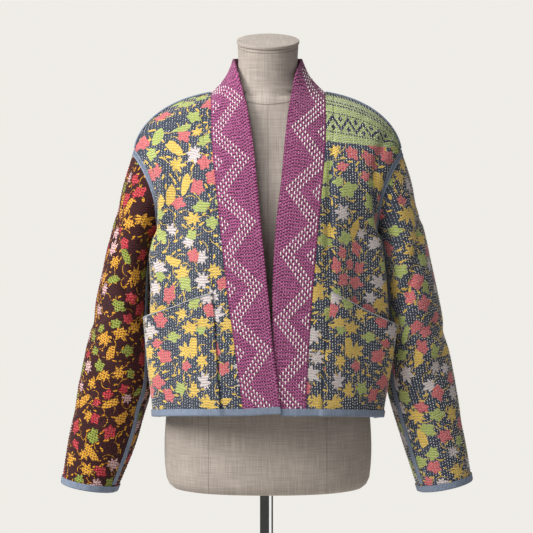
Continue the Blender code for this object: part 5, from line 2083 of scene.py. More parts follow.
class Effects:
    """The shared effects, each built once as a node group."""

    def __init__(self) -> None:
        """Builds every group."""
        self.leaf = self.leaf_layer()
        self.stem = self.stem_layer()
        self.print = self.leaf_print()
        self.quilt = self.quilt_relief()
        self.weave = self.thread_weave()
        self.wear = self.cloth_wear()

    @staticmethod
    def scattered(made: EffectGroup, randomness: float) -> tuple[Value, Value, tuple[Value, ...]]:
        """Points scattered over the cloth, one to a cell, each turned by chance.

        Args:
            made: the group that they are for.
            randomness: how far a point may lie from its cell's middle.

        Returns:
            X and Y from the nearest point, and the three chances of its cell.
        """
        g, given = made.graph, made.given
        cells = g.node("ShaderNodeTexVoronoi", voronoi_dimensions="2D", feature="F1")
        g.feed(cells.inputs["Vector"], given["Cloth"])
        g.feed(cells.inputs["Scale"], 1.0 / given["Cell"])
        g.feed(cells.inputs["Randomness"], randomness)
        chance = g.split(cells.outputs["Color"])
        away = g.vector("SUBTRACT", given["Cloth"], cells.outputs["Position"])
        x, y, _ = g.split(g.turned(away, chance[0] * TURN))
        return x, y, chance

    def leaf_layer(self) -> NodeTree:
        """Scattered leaves, one to a cell whose chance lies between From and To.

        A leaf covers the places whose distance from its middle is below
        radius (1 - depth t^round)(1 + 0.24 cos a), where a is the angle from its tip, and t is 0
        on the axis of each lobe and 1 in each notch.

        Returns:
            The group.
        """
        made = EffectGroup("scattered_leaves", "Cell Radius Lobes Depth Round Narrow Slim From To Teeth",
                           "Leaf Pick")
        g, given = made.graph, made.given
        x, y, chance = self.scattered(made, 0.72)
        x = x * (chance[2] * given["Slim"] + given["Narrow"])
        angle = g.math("ARCTAN2", x, y)
        turns = angle / TURN * given["Lobes"] + 20.0
        notch = g.math("PINGPONG", turns, 0.5) * 2.0
        tooth = g.math("PINGPONG", turns * 4.0, 0.5)
        edge = 1.0 - notch ** given["Round"] * given["Depth"] - tooth * given["Teeth"]
        edge = edge * (g.math("COSINE", angle) * 0.24 + 1.0)
        edge = edge * (chance[2] * 0.56 + 0.68) * given["Radius"]
        kept = (chance[1] < given["To"]) * (given["From"] < chance[1])
        leaf = g.math("DIVIDE", edge - g.vector("LENGTH", g.join(x, y)), 0.0004, clamp=True)
        return made.put(Leaf=leaf * kept, Pick=g.math("FRACT", chance[1] * 37.7))

    def stem_layer(self) -> NodeTree:
        """Scattered thin curved stems: short arcs of a circle, one to a cell."""
        made = EffectGroup("curved_stems", "Cell Bend Reach Width Share", "Stem")
        g, bend = made.graph, made.given["Bend"]
        x, y, chance = self.scattered(made, 0.8)
        off = abs(g.vector("LENGTH", g.join(x - bend, y)) - bend)
        share = abs(y) / made.given["Reach"]
        near = (off < made.given["Width"] * (share * -0.5 + 1.2)) * (share < 1.0) * (abs(x) < bend)
        return made.put(Stem=near * (chance[1] < made.given["Share"]))

    def leaf_print(self) -> NodeTree:
        """The printed cloth: stems and small leaflets on a ground, three kinds of leaves on them."""
        made = EffectGroup("leaf_print", " ".join(("Share", *PALETTE)), "Colour Leaf")
        g, given = made.graph, made.given
        cloth = given["Cloth"]
        for scale, reach in ((130.0, 0.0016), (8.0, 0.026)):
            wave = g.node("ShaderNodeTexNoise", noise_dimensions="2D")
            for name, value in (("Vector", given["Cloth"]), ("Scale", scale), ("Detail", 1.0)):
                g.feed(wave.inputs[name], value)
            drift = g.vector("SUBTRACT", wave.outputs["Color"], (0.5, 0.5, 0.5))
            cloth = g.vector("ADD", cloth, g.scaled(drift, reach))
        cloth = g.turned(cloth, 0.56)
        tone = g.math("MULTIPLY_ADD", g.noise(given["Cloth"], 330.0, 2.0), 0.60, -0.26, clamp=True)
        stems = g.group(self.stem, Cloth=g.vector("ADD", cloth, (0.207, 0.013, 0)), Cell=0.0230,
                        Bend=0.0125, Reach=0.0105, Width=0.00055, Share=0.80)
        leaflets = g.group(self.leaf, Cloth=g.vector("ADD", cloth, (0.057, 0.119, 0)), Cell=0.0130,
                           Radius=0.0047, Lobes=2.0, Depth=0.22, Round=1.0, Narrow=2.0, Slim=0.6,
                           From=-0.01, To=0.55, Teeth=0.0)
        cover = g.math("MAXIMUM", stems["Stem"], leaflets["Leaf"])
        colour = g.mix(cover, given["Ground"], given["Yellow"])
        shape = ("Radius", "Lobes", "Depth", "Round", "Narrow", "Slim", "Teeth")
        for sizes, start, end, split, first, second in (
            ((0.0185, 2.0, 0.24, 1.0, 1.7, 0.5, 0.12), -0.01, 0.13, 0.66, "Yellow", "Lime"),
            ((0.0168, 7.0, 0.52, 0.85, 1.0, 0.3, 0.12), 0.13, 0.50, 0.55, "White", "Yellow"),
            ((0.0150, 5.0, 0.36, 1.3, 1.1, 0.3, 0.18), 0.50, 0.97, 0.45, "Lime", "Coral"),
        ):
            leaf = g.group(self.leaf, Cloth=g.vector("ADD", cloth, (0.113, 0.071, 0)), Cell=0.0305,
                           From=given["Share"] * start, To=given["Share"] * end, **dict(zip(shape, sizes)))
            fill = g.mix(leaf["Pick"] > split, given[first], given[second])
            colour = g.mix(leaf["Leaf"], colour, g.mix(tone, fill, (0.90, 0.80, 0.60)))
            cover = g.math("MAXIMUM", cover, leaf["Leaf"])
        return made.put(Colour=colour, Leaf=cover)

    @staticmethod
    def quilt_relief() -> NodeTree:
        """The quilt's relief: a valley along every row of stitches, and ridges that cross them
        between one stitch and the next, shifted by the same waves as the stitches. Its Shade is
        painted shade and painted light: the colour darker in the valleys and lighter on the ridges."""
        made = EffectGroup("quilt_relief", "Gap Pitch", "Height Shade")
        g, given = made.graph, made.given
        u, v, _ = g.split(given["Cloth"])
        groove = abs(g.math("SINE", u / given["Gap"] * math.pi)) ** 0.7
        along = v / given["Pitch"]
        for share, length, start in WAVES:
            along = g.math("SINE", u * (TURN / length) + start) * share + along
        ridge = g.math("COSINE", along * TURN) * -0.5 + 0.5
        pucker = g.noise(g.join(u * 110.0, v * 230.0), 1.0, 2.0)
        height = groove * 0.30 + ridge * 0.70 + (pucker - 0.5) * 0.7
        # Shade is painted shade in the valleys and painted light on the ridges, from the same height
        return made.put(Height=height, Shade=height * 0.62 + 0.56)

    @staticmethod
    def thread_weave() -> NodeTree:
        """A plain weave of uneven threads: high where a thread passes over, with painted shade between the
        threads and lighter along the raised slubs.
        """
        made = EffectGroup("thread_weave", "Pitch Slub", "Height Shade")
        g, pitch = made.graph, made.given["Pitch"]
        u, v = (value / pitch for value in g.split(made.given["Cloth"])[:2])
        weave = g.math("SINE", u * TURN) * g.math("SINE", v * TURN)
        warp = g.noise(g.join(u * 0.9, v * 0.03), 1.0, 1.5)
        weft = g.noise(g.join(u * 0.03, v * 0.9), 1.0, 1.5)
        slub = (warp - 0.5 + (weft - 0.5)) * made.given["Slub"]
        return made.put(Height=slub * 2.0 + (weave * 0.25 + 0.5), Shade=weave * 0.04 + (slub + 0.98))

    @staticmethod
    def cloth_wear() -> NodeTree:
        """Uneven fading and soft stains, as values round 1 and a roughness shift."""
        made = EffectGroup("cloth_wear", "Amount", "Shade Rough")
        broad = made.graph.noise(made.given["Cloth"], 9.0, 3.0)
        fine = made.graph.noise(made.given["Cloth"], 420.0, 3.0, 0.65)
        both = broad - 0.5 + (fine - 0.5) * 0.8
        return made.put(Shade=both * made.given["Amount"] + 1.0, Rough=fine * 0.14 + 0.78)


class Finish:
    """A material under construction: its graph, its shader and its cloth coordinates."""

    def __init__(self, name: str) -> None:
        """Makes the material.

        Args:
            name: the material's name.
        """
        self.material = bpy.data.materials.new(name)
        self.material.use_nodes = True
        self.graph = Graph(self.material.node_tree)
        self.shader = self.material.node_tree.nodes["Principled BSDF"]

    def cloth(self, layer: str = "cloth") -> NodeSocket:
        """A UV map of the piece, in metres."""
        return self.graph.node("ShaderNodeUVMap", uv_map=layer).outputs[0]

    def shaded(self, colour: object, *shades: Value) -> Value:
        """A colour times each shade."""
        for shade in shades:
            colour = self.graph.mix(1.0, colour, self.graph.join(shade, shade, shade), "MULTIPLY")
        return colour

    def finish(self, colour: object, roughness: object, *reliefs: tuple[Value, float],
               **constants: float) -> Material:
        """Feeds the shader.

        Args:
            colour: its base colour.
            roughness: its roughness.
            reliefs: heights, each with the distance in metres that it stands for.
            constants: values of other inputs, by name with underscores for spaces.

        Returns:
            The finished material.
        """
        sockets, normal = self.shader.inputs, None
        for height, distance in reliefs:
            bump = self.graph.node("ShaderNodeBump", {"Strength": 1.0, "Distance": distance,
                                                      "Height": height, "Normal": normal})
            normal = bump.outputs[0]
        for name, value in (("Base Color", colour), ("Roughness", roughness), ("Normal", normal)):
            self.graph.feed(sockets[name], value)
        for name, value in constants.items():
            sockets[name.replace("_", " ")].default_value = value
        return self.material


@dataclass(frozen=True)
class LeafQuilt:
    """Quilted cotton with printed leaves."""

    name: str
    ground: Colour
    lime: Colour
    yellow: Colour
    coral: Colour
    white: Colour
    row_gap: float = 0.0045
    pitch: float = 0.0044
    share: float = 1.0
    size: float = 1.0
    flecks: Colour | None = None
    border: bool = False
    lime_border: Colour = (0.400, 0.480, 0.190)
    border_navy: Colour = (0.030, 0.040, 0.075)
    offset: tuple[float, float, float] = (0.0, 0.0, 0.0)

    def build(self, effects: Effects) -> Material:
        """Makes the material from the shared effects.

        Args:
            effects: the shared node groups.

        Returns:
            The material.
        """
        made = Finish(self.name)
        g, cloth = made.graph, made.cloth()
        leaves = self.printed(g, effects, cloth)
        colour = leaves["Colour"]
        if self.flecks is not None:
            colour = self.flecked(g, cloth, colour, leaves["Leaf"])
        if self.border:
            colour = self.bordered(g, made.cloth("border"), colour)
        quilt = g.group(effects.quilt, Cloth=cloth, Gap=self.row_gap, Pitch=self.pitch)
        weave = g.group(effects.weave, Cloth=cloth, Pitch=0.0009, Slub=0.20)
        wear = g.group(effects.wear, Cloth=cloth, Amount=0.35)
        # The quilt's Shade is painted shade and light on its relief, the weave's is painted shade between
        # threads with lighter slubs, and the wear's is the cloth's own fading
        colour = made.shaded(colour, quilt["Shade"], weave["Shade"], wear["Shade"])
        return made.finish(colour, wear["Rough"], (weave["Height"], 0.00012), (quilt["Height"], 0.0010),
                           Sheen_Weight=0.08, Sheen_Roughness=0.6, Specular_IOR_Level=0.2)

    def printed(self, g: Graph, effects: Effects, cloth: NodeSocket) -> dict[str, Value]:
        """The print at a place on the cloth, by its colour and where its leaves are."""
        place = g.vector("ADD", g.scaled(cloth, 1 / self.size), self.offset)
        return g.group(effects.print, Cloth=place, Share=self.share, Ground=self.ground,
                       Lime=self.lime, Yellow=self.yellow, Coral=self.coral, White=self.white)

    def flecked(self, g: Graph, cloth: NodeSocket, colour: Value, leaf: Value) -> Value:
        """Breaks the print up with rows of small dark red flecks, as the sewn thread does.

        Args:
            g: the material's graph.
            cloth: places on the cloth.
            colour: the print.
            leaf: 1 on its leaves and 0 beside them.

        Returns:
            The colour with the flecks on it.
        """
        u, v, _ = g.split(cloth)
        row = u / (self.row_gap / 2)
        along = g.math("FRACT", v / self.pitch + g.math("FLOOR", row) * 0.37)
        spot = g.math("COMPARE", along, 0.5, 0.24) * g.math("COMPARE", g.math("FRACT", row), 0.5, 0.20)
        return g.mix(spot * (leaf * 0.35 + 0.45), colour, self.flecks)

    def bordered(self, g: Graph, place: NodeSocket, colour: Value) -> Value:
        """A lime border under the shoulder: thin stripes, and a zigzag vine with diamonds.

        Args:
            g: the material's graph.
            place: lengths across, and the share of the border's drop below the shoulder.
            colour: the print under it.

        Returns:
            The colour with the border on it.
        """
        u, t, _ = g.split(place)
        t = t + (g.noise(g.join(u * 300.0, t * 22.0), 1.0, 1.0) - 0.5) * 0.03
        lines = g.math("COMPARE", t, 0.17, 0.016)
        for middle, half in ((0.235, 0.016), (0.40, 0.012), (0.80, 0.014), (0.03, 0.025)):
            lines = g.math("MAXIMUM", lines, g.math("COMPARE", t, middle, half))
        lines = lines * (g.math("PINGPONG", u + 2.0, 0.0022) > 0.0005)
        wave = g.math("PINGPONG", u + 2.0, 0.0125) / 0.0125
        marks = g.math("COMPARE", t, wave * 0.26 + 0.47, 0.050)
        for middle, peak in ((0.50, 1.0), (0.70, 0.0)):
            off = abs(t - middle) + abs(wave - peak) * 0.24
            marks = g.math("MAXIMUM", marks, off < 0.075)
        lime = g.mix(g.math("MAXIMUM", lines, marks), self.lime_border, self.border_navy)
        return g.mix(t < 1.0, colour, lime)


@dataclass(frozen=True)
class PlainQuilt:
    """Quilted cotton of one colour, for the collar."""

    name: str
    ground: Colour
    glow: Colour
    row_gap: float = 0.0044
    pitch: float = 0.0053

    def build(self, effects: Effects) -> Material:
        """Makes the material from the shared effects.

        Args:
            effects: the shared node groups.

        Returns:
            The material.
        """
        made = Finish(self.name)
        g, cloth = made.graph, made.cloth()
        quilt = g.group(effects.quilt, Cloth=cloth, Gap=self.row_gap, Pitch=self.pitch)
        weave = g.group(effects.weave, Cloth=cloth, Pitch=0.0008, Slub=0.35)
        wear = g.group(effects.wear, Cloth=cloth, Amount=0.30)
        colour = g.mix(g.noise(cloth, 60.0, 3.0), self.ground, self.glow)
        # The quilt's painted shade goes on three times, for dark valleys and light ridges between the rows;
        # the weave adds painted shade between threads, the wear the cloth's own fading
        colour = made.shaded(colour, *[quilt["Shade"]] * 3, weave["Shade"], wear["Shade"])
        return made.finish(colour, wear["Rough"], (weave["Height"], 0.00012), (quilt["Height"], 0.0023),
                           Sheen_Weight=0.1, Sheen_Roughness=0.5, Specular_IOR_Level=0.2)


@dataclass(frozen=True)
class WovenTape:
    """Plain woven tape, ribbed across."""

    name: str
    colour: Colour
    pale: Colour
    rib: float = 0.0016

    def build(self, effects: Effects) -> Material:
        """Makes the material from the shared effects.

        Args:
            effects: the shared node groups.

        Returns:
            The material.
        """
        made = Finish(self.name)
        g, cloth = made.graph, made.cloth()
        u, v, _ = g.split(cloth)
        rib = g.math("SINE", u / self.rib * TURN)
        uneven = g.noise(g.join(u * 500.0, v * 60.0), 1.0, 2.0)
        weave = g.group(effects.weave, Cloth=cloth, Pitch=0.0005, Slub=0.25)
        wear = g.group(effects.wear, Cloth=cloth, Amount=0.30)
        # Painted shade and light: the rib's sine darkens the grooves between ribs and lightens their tops;
        # the uneven noise is the tape's own tone
        colour = made.shaded(g.mix(uneven, self.colour, self.pale), rib * 0.07 + (uneven * 0.25 + 0.84),
                             weave["Shade"], wear["Shade"])
        return made.finish(colour, wear["Rough"], (weave["Height"], 0.00010), (rib + uneven, 0.00018),
                           Sheen_Weight=0.1, Specular_IOR_Level=0.25)


@dataclass(frozen=True)
class Linen:
    """The form's linen cover with its slubs and its seam lines."""

    name: str
    colour: Colour
    pale: Colour

    def build(self, effects: Effects) -> Material:
        """Makes the material from the shared effects.

        Args:
            effects: the shared node groups.

        Returns:
            The material.
        """
        made = Finish(self.name)
        g, cloth = made.graph, made.cloth()
        weave = g.group(effects.weave, Cloth=cloth, Pitch=0.0012, Slub=0.62)
        coarse = g.group(effects.weave, Cloth=cloth, Pitch=0.0026, Slub=0.22)
        wear = g.group(effects.wear, Cloth=cloth, Amount=0.16)
        colour = g.mix(g.noise(cloth, 25.0, 3.0), self.colour, self.pale)
        colour = made.shaded(colour, weave["Shade"], coarse["Shade"], wear["Shade"])
        seam = self.seams(g)
        colour = g.mix(seam * 0.45, colour, (0.060, 0.052, 0.046))
        return made.finish(colour, wear["Rough"], (weave["Height"] - seam * 3.0, 0.00022),
                           Sheen_Weight=0.08, Specular_IOR_Level=0.2)

    def seams(self, g: Graph) -> Value:
        """A mask of the cover's seams: down the chest and the hips, and round the neck's foot.

        Args:
            g: the material's graph.

        Returns:
            1 on a seam and 0 beside it.
        """
        x, y, z = g.split(g.place())
        slope = y * 0.55 + 1.402
        chest = g.math("COMPARE", x, 0.0025, 0.0005) * (z < slope) * (z > 0.95)
        hips = g.math("COMPARE", abs(x - 0.0020), 0.0970, 0.0004) * (z < 0.95)
        front = g.math("MAXIMUM", chest, hips) * (y < -0.03)
        foot = g.math("COMPARE", z, slope, 0.0007)
        groove = g.math("COMPARE", z, y * 0.249 + 1.4660, 0.0005)
        return g.math("MAXIMUM", front, g.math("MAXIMUM", foot, groove))


@dataclass(frozen=True)
class Thread:
    """Twisted cotton thread."""

    name: str
    colour: Colour
    # dark is the colour of the painted shade on stitches that sink into the cloth
    dark: Colour
    on: LeafQuilt | None = None
    hidden: float = 0.8
    border_foot: float = 1.304

    def build(self, effects: Effects) -> Material:
        """Makes the material, with painted shade on some stitches, and near the print's own colour over a
        leaf below the border.

        Args:
            effects: the shared node groups.

        Returns:
            The material.
        """
        made = Finish(self.name)
        g = made.graph
        place = g.place()
        wear = g.group(effects.wear, Cloth=place, Amount=0.30)
        # Painted shade: where this noise is low a stitch takes the dark colour, the shade of a stitch sunk
        # into the cloth
        sunk_shade = g.math("MULTIPLY_ADD", g.noise(place, 260.0, 1.0), 3.2, -1.1, clamp=True)
        colour = g.mix(sunk_shade, self.dark, self.colour)
        if self.on is not None:
            leaves = self.on.printed(g, effects, made.cloth())
            share = leaves["Leaf"] * self.hidden
            if self.on.border:
                share = share * (g.split(place)[2] < self.border_foot)
            colour = g.mix(share, colour, g.mix(0.24, leaves["Colour"], self.colour))
        colour = made.shaded(colour, wear["Shade"])
        return made.finish(colour, wear["Rough"], (g.noise(place, 1400.0, 2.0), 0.00008),
                           Specular_IOR_Level=0.2)


@dataclass(frozen=True)
class PolishedSteel:
    """Chromed steel with faint wiping marks."""

    name: str
    colour: Colour
    roughness: float = 0.07

    def build(self, effects: Effects) -> Material:
        """Makes the material, with fine marks stretched along the tube.

        Args:
            effects: the shared node groups.

        Returns:
            The material.
        """
        made = Finish(self.name)
        g = made.graph
        place = g.place()
        x, y, z = g.split(place)
        marks = g.noise(g.join(x * 900.0, y * 900.0, z * 30.0), 1.0, 2.0)
        film = g.noise(place, 14.0, 3.0)
        rough = film * 0.05 + (marks * 0.05 + (self.roughness - 0.05))
        tint = g.mix(film, self.colour, tuple(0.86 * value for value in self.colour))
        return made.finish(tint, rough, (marks, 0.00001), Metallic=1.0)


# The jacket, dressed


@dataclass
class Jacket:
    """The whole jacket: its cloth, tapes and stitches; the cloth and the tapes that nodes stand for replace
    their CAD solids.
    """

    effects: Effects
    patch: Patchwork = field(default_factory=Patchwork)
    tape: Tape = field(default_factory=Tape)
    stitch: RunningStitch = field(default_factory=RunningStitch)
    collar_stitch: RunningStitch = field(
        default_factory=lambda: RunningStitch(row_gap=0.0044, pitch=0.0053, length=0.0025,
                                              width=0.0020, height=0.0006, seed=5)
    )
    zigzag: ZigzagStitch = field(default_factory=ZigzagStitch)
    border_foot: tuple[float, float] = (1.311, 1.296)
    edging: tuple[float, ...] = (0.0018, 0.0011, 0.0004)
    edging_air: float = 0.0001

    def __post_init__(self) -> None:
        """Makes the finishes of the cloth, the tapes and the threads."""
        navy = dict(ground=(0.048, 0.060, 0.092), lime=(0.400, 0.475, 0.125),
                    yellow=(0.740, 0.500, 0.090), coral=(0.620, 0.125, 0.145),
                    white=(0.640, 0.570, 0.575))
        prints = {
            "front_right": LeafQuilt("navy_leaf_quilt_right", offset=(0.31, 0.17, 0), **navy),
            "front_left": LeafQuilt("navy_leaf_quilt_left", border=True, offset=(0.72, 0.05, 0), **navy),
            "navy": LeafQuilt("navy_leaf_quilt", offset=(1.13, 0.41, 0), **navy),
        }
        # A thread's second colour is the painted shade of its sunken stitches
        cream = ((0.880, 0.860, 0.800), (0.400, 0.400, 0.410))
        self.cloths = {
            **prints,
            **{f"{name}_thread": Thread(f"{name}_thread", *cream, on=quilt)
               for name, quilt in prints.items()},
            "maroon": LeafQuilt("maroon_leaf_quilt", ground=(0.022, 0.007, 0.008),
                                lime=(0.260, 0.370, 0.040), yellow=(0.760, 0.380, 0.015),
                                coral=(0.560, 0.022, 0.045), white=(0.760, 0.500, 0.500),
                                size=0.90, share=0.90, flecks=(0.170, 0.012, 0.020),
                                offset=(0.21, 0.63, 0)),
            "purple": PlainQuilt("purple_quilt", (0.250, 0.047, 0.148), (0.378, 0.092, 0.231)),
            "tape": WovenTape("blue_tape", (0.170, 0.216, 0.310), (0.285, 0.342, 0.445)),
            "pale_tape": WovenTape("pale_tape", (0.350, 0.380, 0.420), (0.510, 0.535, 0.560)),
            "cream_thread": Thread("cream_thread", (0.900, 0.870, 0.820), (0.740, 0.720, 0.680)),
            "wine_thread": Thread("wine_thread", (0.170, 0.018, 0.026), (0.060, 0.008, 0.010)),
            "pink_thread": Thread("pink_thread", (0.680, 0.360, 0.540), (0.460, 0.190, 0.330)),
        }
        self.materials = {name: finish.build(self.effects) for name, finish in self.cloths.items()}

    def place(self, made: Object, slot: str, *nodes: str) -> Object:
        """Gives a piece its body and hides the CAD nodes that it replaces.

        Args:
            made: the piece.
            slot: not used.
            nodes: the nodes that it stands for.

        Returns:
            The piece.
        """
        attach(made, BODY)
        if nodes:
            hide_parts(*nodes)
        LOG.info("%s: %d points", made.name, len(made.data.vertices))
        return made

    def cloth_piece(self, name: str, sheet: Sheet, finish: str, slot: str, node: str) -> Object:
        """A wall of cloth in place of its node."""
        made = wall_object(name, sheet, self.patch.cloth, self.materials[finish])
        return self.place(made, slot, node)

    def tape_piece(self, name: str, sheet: Sheet, *nodes: str) -> Object:
        """A tape in place of its node, or the paler edging that no node stands for.

        Args:
            name: the piece's name.
            sheet: the tape.
            nodes: the node that it replaces, if any.

        Returns:
            The piece.
        """
        finish = self.materials["tape" if nodes else "pale_tape"]
        made = wall_object(name, sheet, self.tape.thickness, finish, sharp=60)
        return self.place(made, "blue_tape", *nodes)

    def stitch_piece(self, name: str, sheet: Sheet, stitches: Stitches,
                     stitch: RunningStitch | ZigzagStitch, thread: str, slot: str) -> Object:
        """All of one sheet's stitches, in one mesh.

        Args:
            name: the piece's name.
            sheet: the cloth under the stitches.
            stitches: their places.
            stitch: their sizes.
            thread: the thread's finish.
            slot: the cloth's slot.

        Returns:
            The piece.
        """
        points, faces, cloth = stitches.mesh(sheet, self.patch.cloth, stitch.length, stitch.width,
                                             stitch.height)
        made = mesh_object(name, points, faces, cloth, self.materials[thread])
        return self.place(made, slot)

    def declare(self, made: Object, sheet: Sheet) -> None:
        """Logs the size and area that a sheet of cloth was cut to.

        Args:
            made: the piece.
            sheet: its cloth.
        """
        width, length, area = self.cut(sheet)
        LOG.info("%s was cut %.4f x %.4f m, %.5f m2", made.name, width, length, area)

    @staticmethod
    def cut(sheet: Sheet) -> tuple[float, float, float]:
        """Greatest width, greatest length and area of a sheet, all measured on its cloth.

        Args:
            sheet: the cloth.

        Returns:
            Width, length and area.
        """
        grid = sheet.middle
        if sheet.closed:
            grid = joined(grid)
        across, along = np.diff(grid, axis=1), np.diff(grid, axis=0)
        cells = np.cross((across[:-1] + across[1:]) / 2, (along[:, :-1] + along[:, 1:]) / 2)
        area = np.linalg.norm(cells, axis=-1).sum()
        width = np.linalg.norm(across, axis=-1).sum(axis=1).max()
        length = np.linalg.norm(along, axis=-1).sum(axis=0).max()
        return float(width), float(length), float(area)

    def build(self) -> None:
        """Builds every piece of the jacket."""
        for side in Side:
            self.build_front(side)
            self.build_sleeve(side)
        self.build_back()
        self.build_collar()

    def border_place(self, sheet: Sheet) -> ndarray:
        """U, and the share of the way down from the shoulder seam to the border's foot."""
        top, foot = sheet.middle[-1:, :, 2], np.linspace(*self.border_foot, sheet.middle.shape[1])[None, :]
        return np.stack([sheet.cloth[..., 0], (top - sheet.middle[..., 2]) / (top - foot)], axis=-1)

    def build_front(self, side: Side) -> None:
        """One front: its strip, its panel, its pocket and its hem binding.

        Args:
            side: the wearer's side.
        """
        patch, word = self.patch, side.word
        front = patch.fronts[side]
        finish = f"front_{word}"
        strip = front.part(slice(0, patch.panel_start + 1))
        panel = front.part(slice(patch.panel_start, None)).trimmed(Edge.FIRST_COLUMN)
        pocket = patch.pocket(side).trimmed(Edge.FIRST_COLUMN)
        edge, lift = patch.hem_front(side)
        binding = self.tape.folded(edge, patch.hem_tape, patch.cloth, lift)
        slot = "navy_leaf_quilt"
        strip_piece = self.cloth_piece(f"cloth_strip_{word}", strip, finish, slot, f"front_strip_{word}")
        panel_piece = self.cloth_piece(f"cloth_front_{word}", panel, finish, slot, f"front_panel_{word}")
        if side is Side.LEFT:
            place = self.border_place(front)
            add_layer(strip_piece, "border", place[:, : patch.panel_start + 1])
            add_layer(panel_piece, "border", place[:, patch.panel_start :])
        pocket_piece = self.cloth_piece(f"cloth_pocket_{word}", pocket, "navy", slot, f"pocket_{word}")
        tape_piece = self.tape_piece(f"tape_hem_front_{word}", binding, f"hem_binding_front_{word}")
        mouth = self.mouth_edge(pocket)
        mouth_piece = self.tape_piece(f"edge_pocket_{word}", mouth)
        thread = f"{finish}_thread"
        strip_thread = self.stitch_piece(f"stitches_strip_{word}", strip, self.stitch.lay(strip),
                                         self.stitch, thread, slot)
        above = self.stitch.lay(panel)
        last = patch.pocket_last
        level = patch.form.levels[np.clip(above.row.astype(int), 0, len(patch.form.levels) - 1)]
        inner, outer, _ = patch.mouths[side]
        mouth_level = inner + (outer - inner) * above.column / last
        free = (level > mouth_level - 0.03) | (above.column > last)
        above = Stitches(above.row[free], above.column[free])
        panel_thread = self.stitch_piece(f"stitches_front_{word}", panel, above, self.stitch, thread, slot)
        pocket_thread = self.stitch_piece(f"stitches_pocket_{word}", pocket, self.stitch.lay(pocket),
                                          self.stitch, "navy_thread", slot)
        self.declare(strip_piece, strip)
        self.declare(panel_piece, panel)
        self.declare(pocket_piece, pocket)

    def mouth_edge(self, pocket: Sheet) -> Sheet:
        """The narrow edging on a pocket's mouth.

        Args:
            pocket: the pocket's cloth.

        Returns:
            The edging's sheet.
        """
        turned = Sheet(pocket.middle[::-1], pocket.normals[::-1], pocket.cloth[::-1])
        lines, offsets = [], []
        for distance in self.edging:
            line, offset = from_edge(turned, distance)
            lines.append(line)
            offsets.append(unit(offset))
        return self.tape.flat(lines, offsets, self.patch.cloth, self.edging_air)

    def build_sleeve(self, side: Side) -> None:
        """One sleeve with its stitches and the tapes of that side.

        Args:
            side: the wearer's side.
        """
        patch, word = self.patch, side.word
        sleeve = patch.sleeves[side].trimmed(Edge.FIRST_ROW)
        maroon = side is Side.RIGHT
        slot = "maroon_leaf_quilt" if maroon else "navy_leaf_quilt"
        made = self.cloth_piece(f"cloth_sleeve_{word}", sleeve, "maroon" if maroon else "navy", slot,
                                f"sleeve_{word}")
        stitches = self.stitch.lay(sleeve)
        threads = self.stitch_piece(f"stitches_sleeve_{word}", sleeve, stitches, self.stitch,
                                    "wine_thread" if maroon else "navy_thread", slot)
        turned = Sheet(sleeve.middle[::-1], sleeve.normals[::-1], sleeve.cloth[::-1], closed=True)
        cuff = self.tape.folded(turned, patch.cuff_tape, patch.cloth, closed=True)
        tapes = [
            self.tape_piece(f"tape_cuff_{word}", cuff, f"cuff_binding_{word}"),
            self.tape_piece(f"tape_armhole_{word}", patch.armhole_line(side, self.tape),
                            f"armhole_tape_{word}"),
            self.tape_piece(f"tape_sleeve_{word}", patch.sleeve_line(side, self.tape),
                            f"sleeve_tape_{word}"),
            self.tape_piece(f"tape_shoulder_{word}", patch.shoulder_line(side, self.tape),
                            f"shoulder_tape_{word}"),
        ]
        self.declare(made, sleeve)

    def build_back(self) -> None:
        """The back with its stitches and its hem binding."""
        patch = self.patch
        back = patch.back.trimmed(Edge.FIRST_COLUMN, Edge.LAST_COLUMN, Edge.LAST_ROW)
        made = self.cloth_piece("cloth_back", back, "navy", "navy_leaf_quilt", "back_panel")
        threads = self.stitch_piece("stitches_back", back, self.stitch.lay(back), self.stitch,
                                    "navy_thread", "navy_leaf_quilt")
        binding = self.tape.folded(back, patch.hem_tape, patch.cloth)
        tape = self.tape_piece("tape_hem_back", binding, "hem_binding_back")
        self.declare(made, back)

    def build_collar(self) -> None:
        """The collar band with its tone-on-tone stitches and its white zigzag."""
        collar = self.patch.collar.trimmed(Edge.FIRST_COLUMN)
        made = self.cloth_piece("cloth_collar", collar, "purple", "purple_quilt", "collar_band")
        small = self.stitch_piece("stitches_collar", collar, self.collar_stitch.lay(collar),
                                  self.collar_stitch, "pink_thread", "purple_quilt")
        large = self.stitch_piece("zigzag_collar", collar, self.zigzag.lay(collar), self.zigzag,
                                  "cream_thread", "purple_quilt")
        self.declare(made, collar)


def add_layer(made: Object, name: str, values: ndarray) -> None:
    """Adds a UV map to a wall of cloth, from a value for each of its grid's points.

    A wall's points are its outer layer and then its inner one, both in the grid's order.

    Args:
        made: the wall.
        name: the map's name.
        values: rows x columns x 2.
    """
    mesh = made.data
    corner = np.zeros(len(mesh.loops), dtype=np.int32)
    mesh.loops.foreach_get("vertex_index", corner)
    flat = values.reshape(-1, 2)
    layer = mesh.uv_layers.new(name=name)
    layer.data.foreach_set("uv", flat[corner % len(flat)].astype(np.float32).ravel())


# Studio


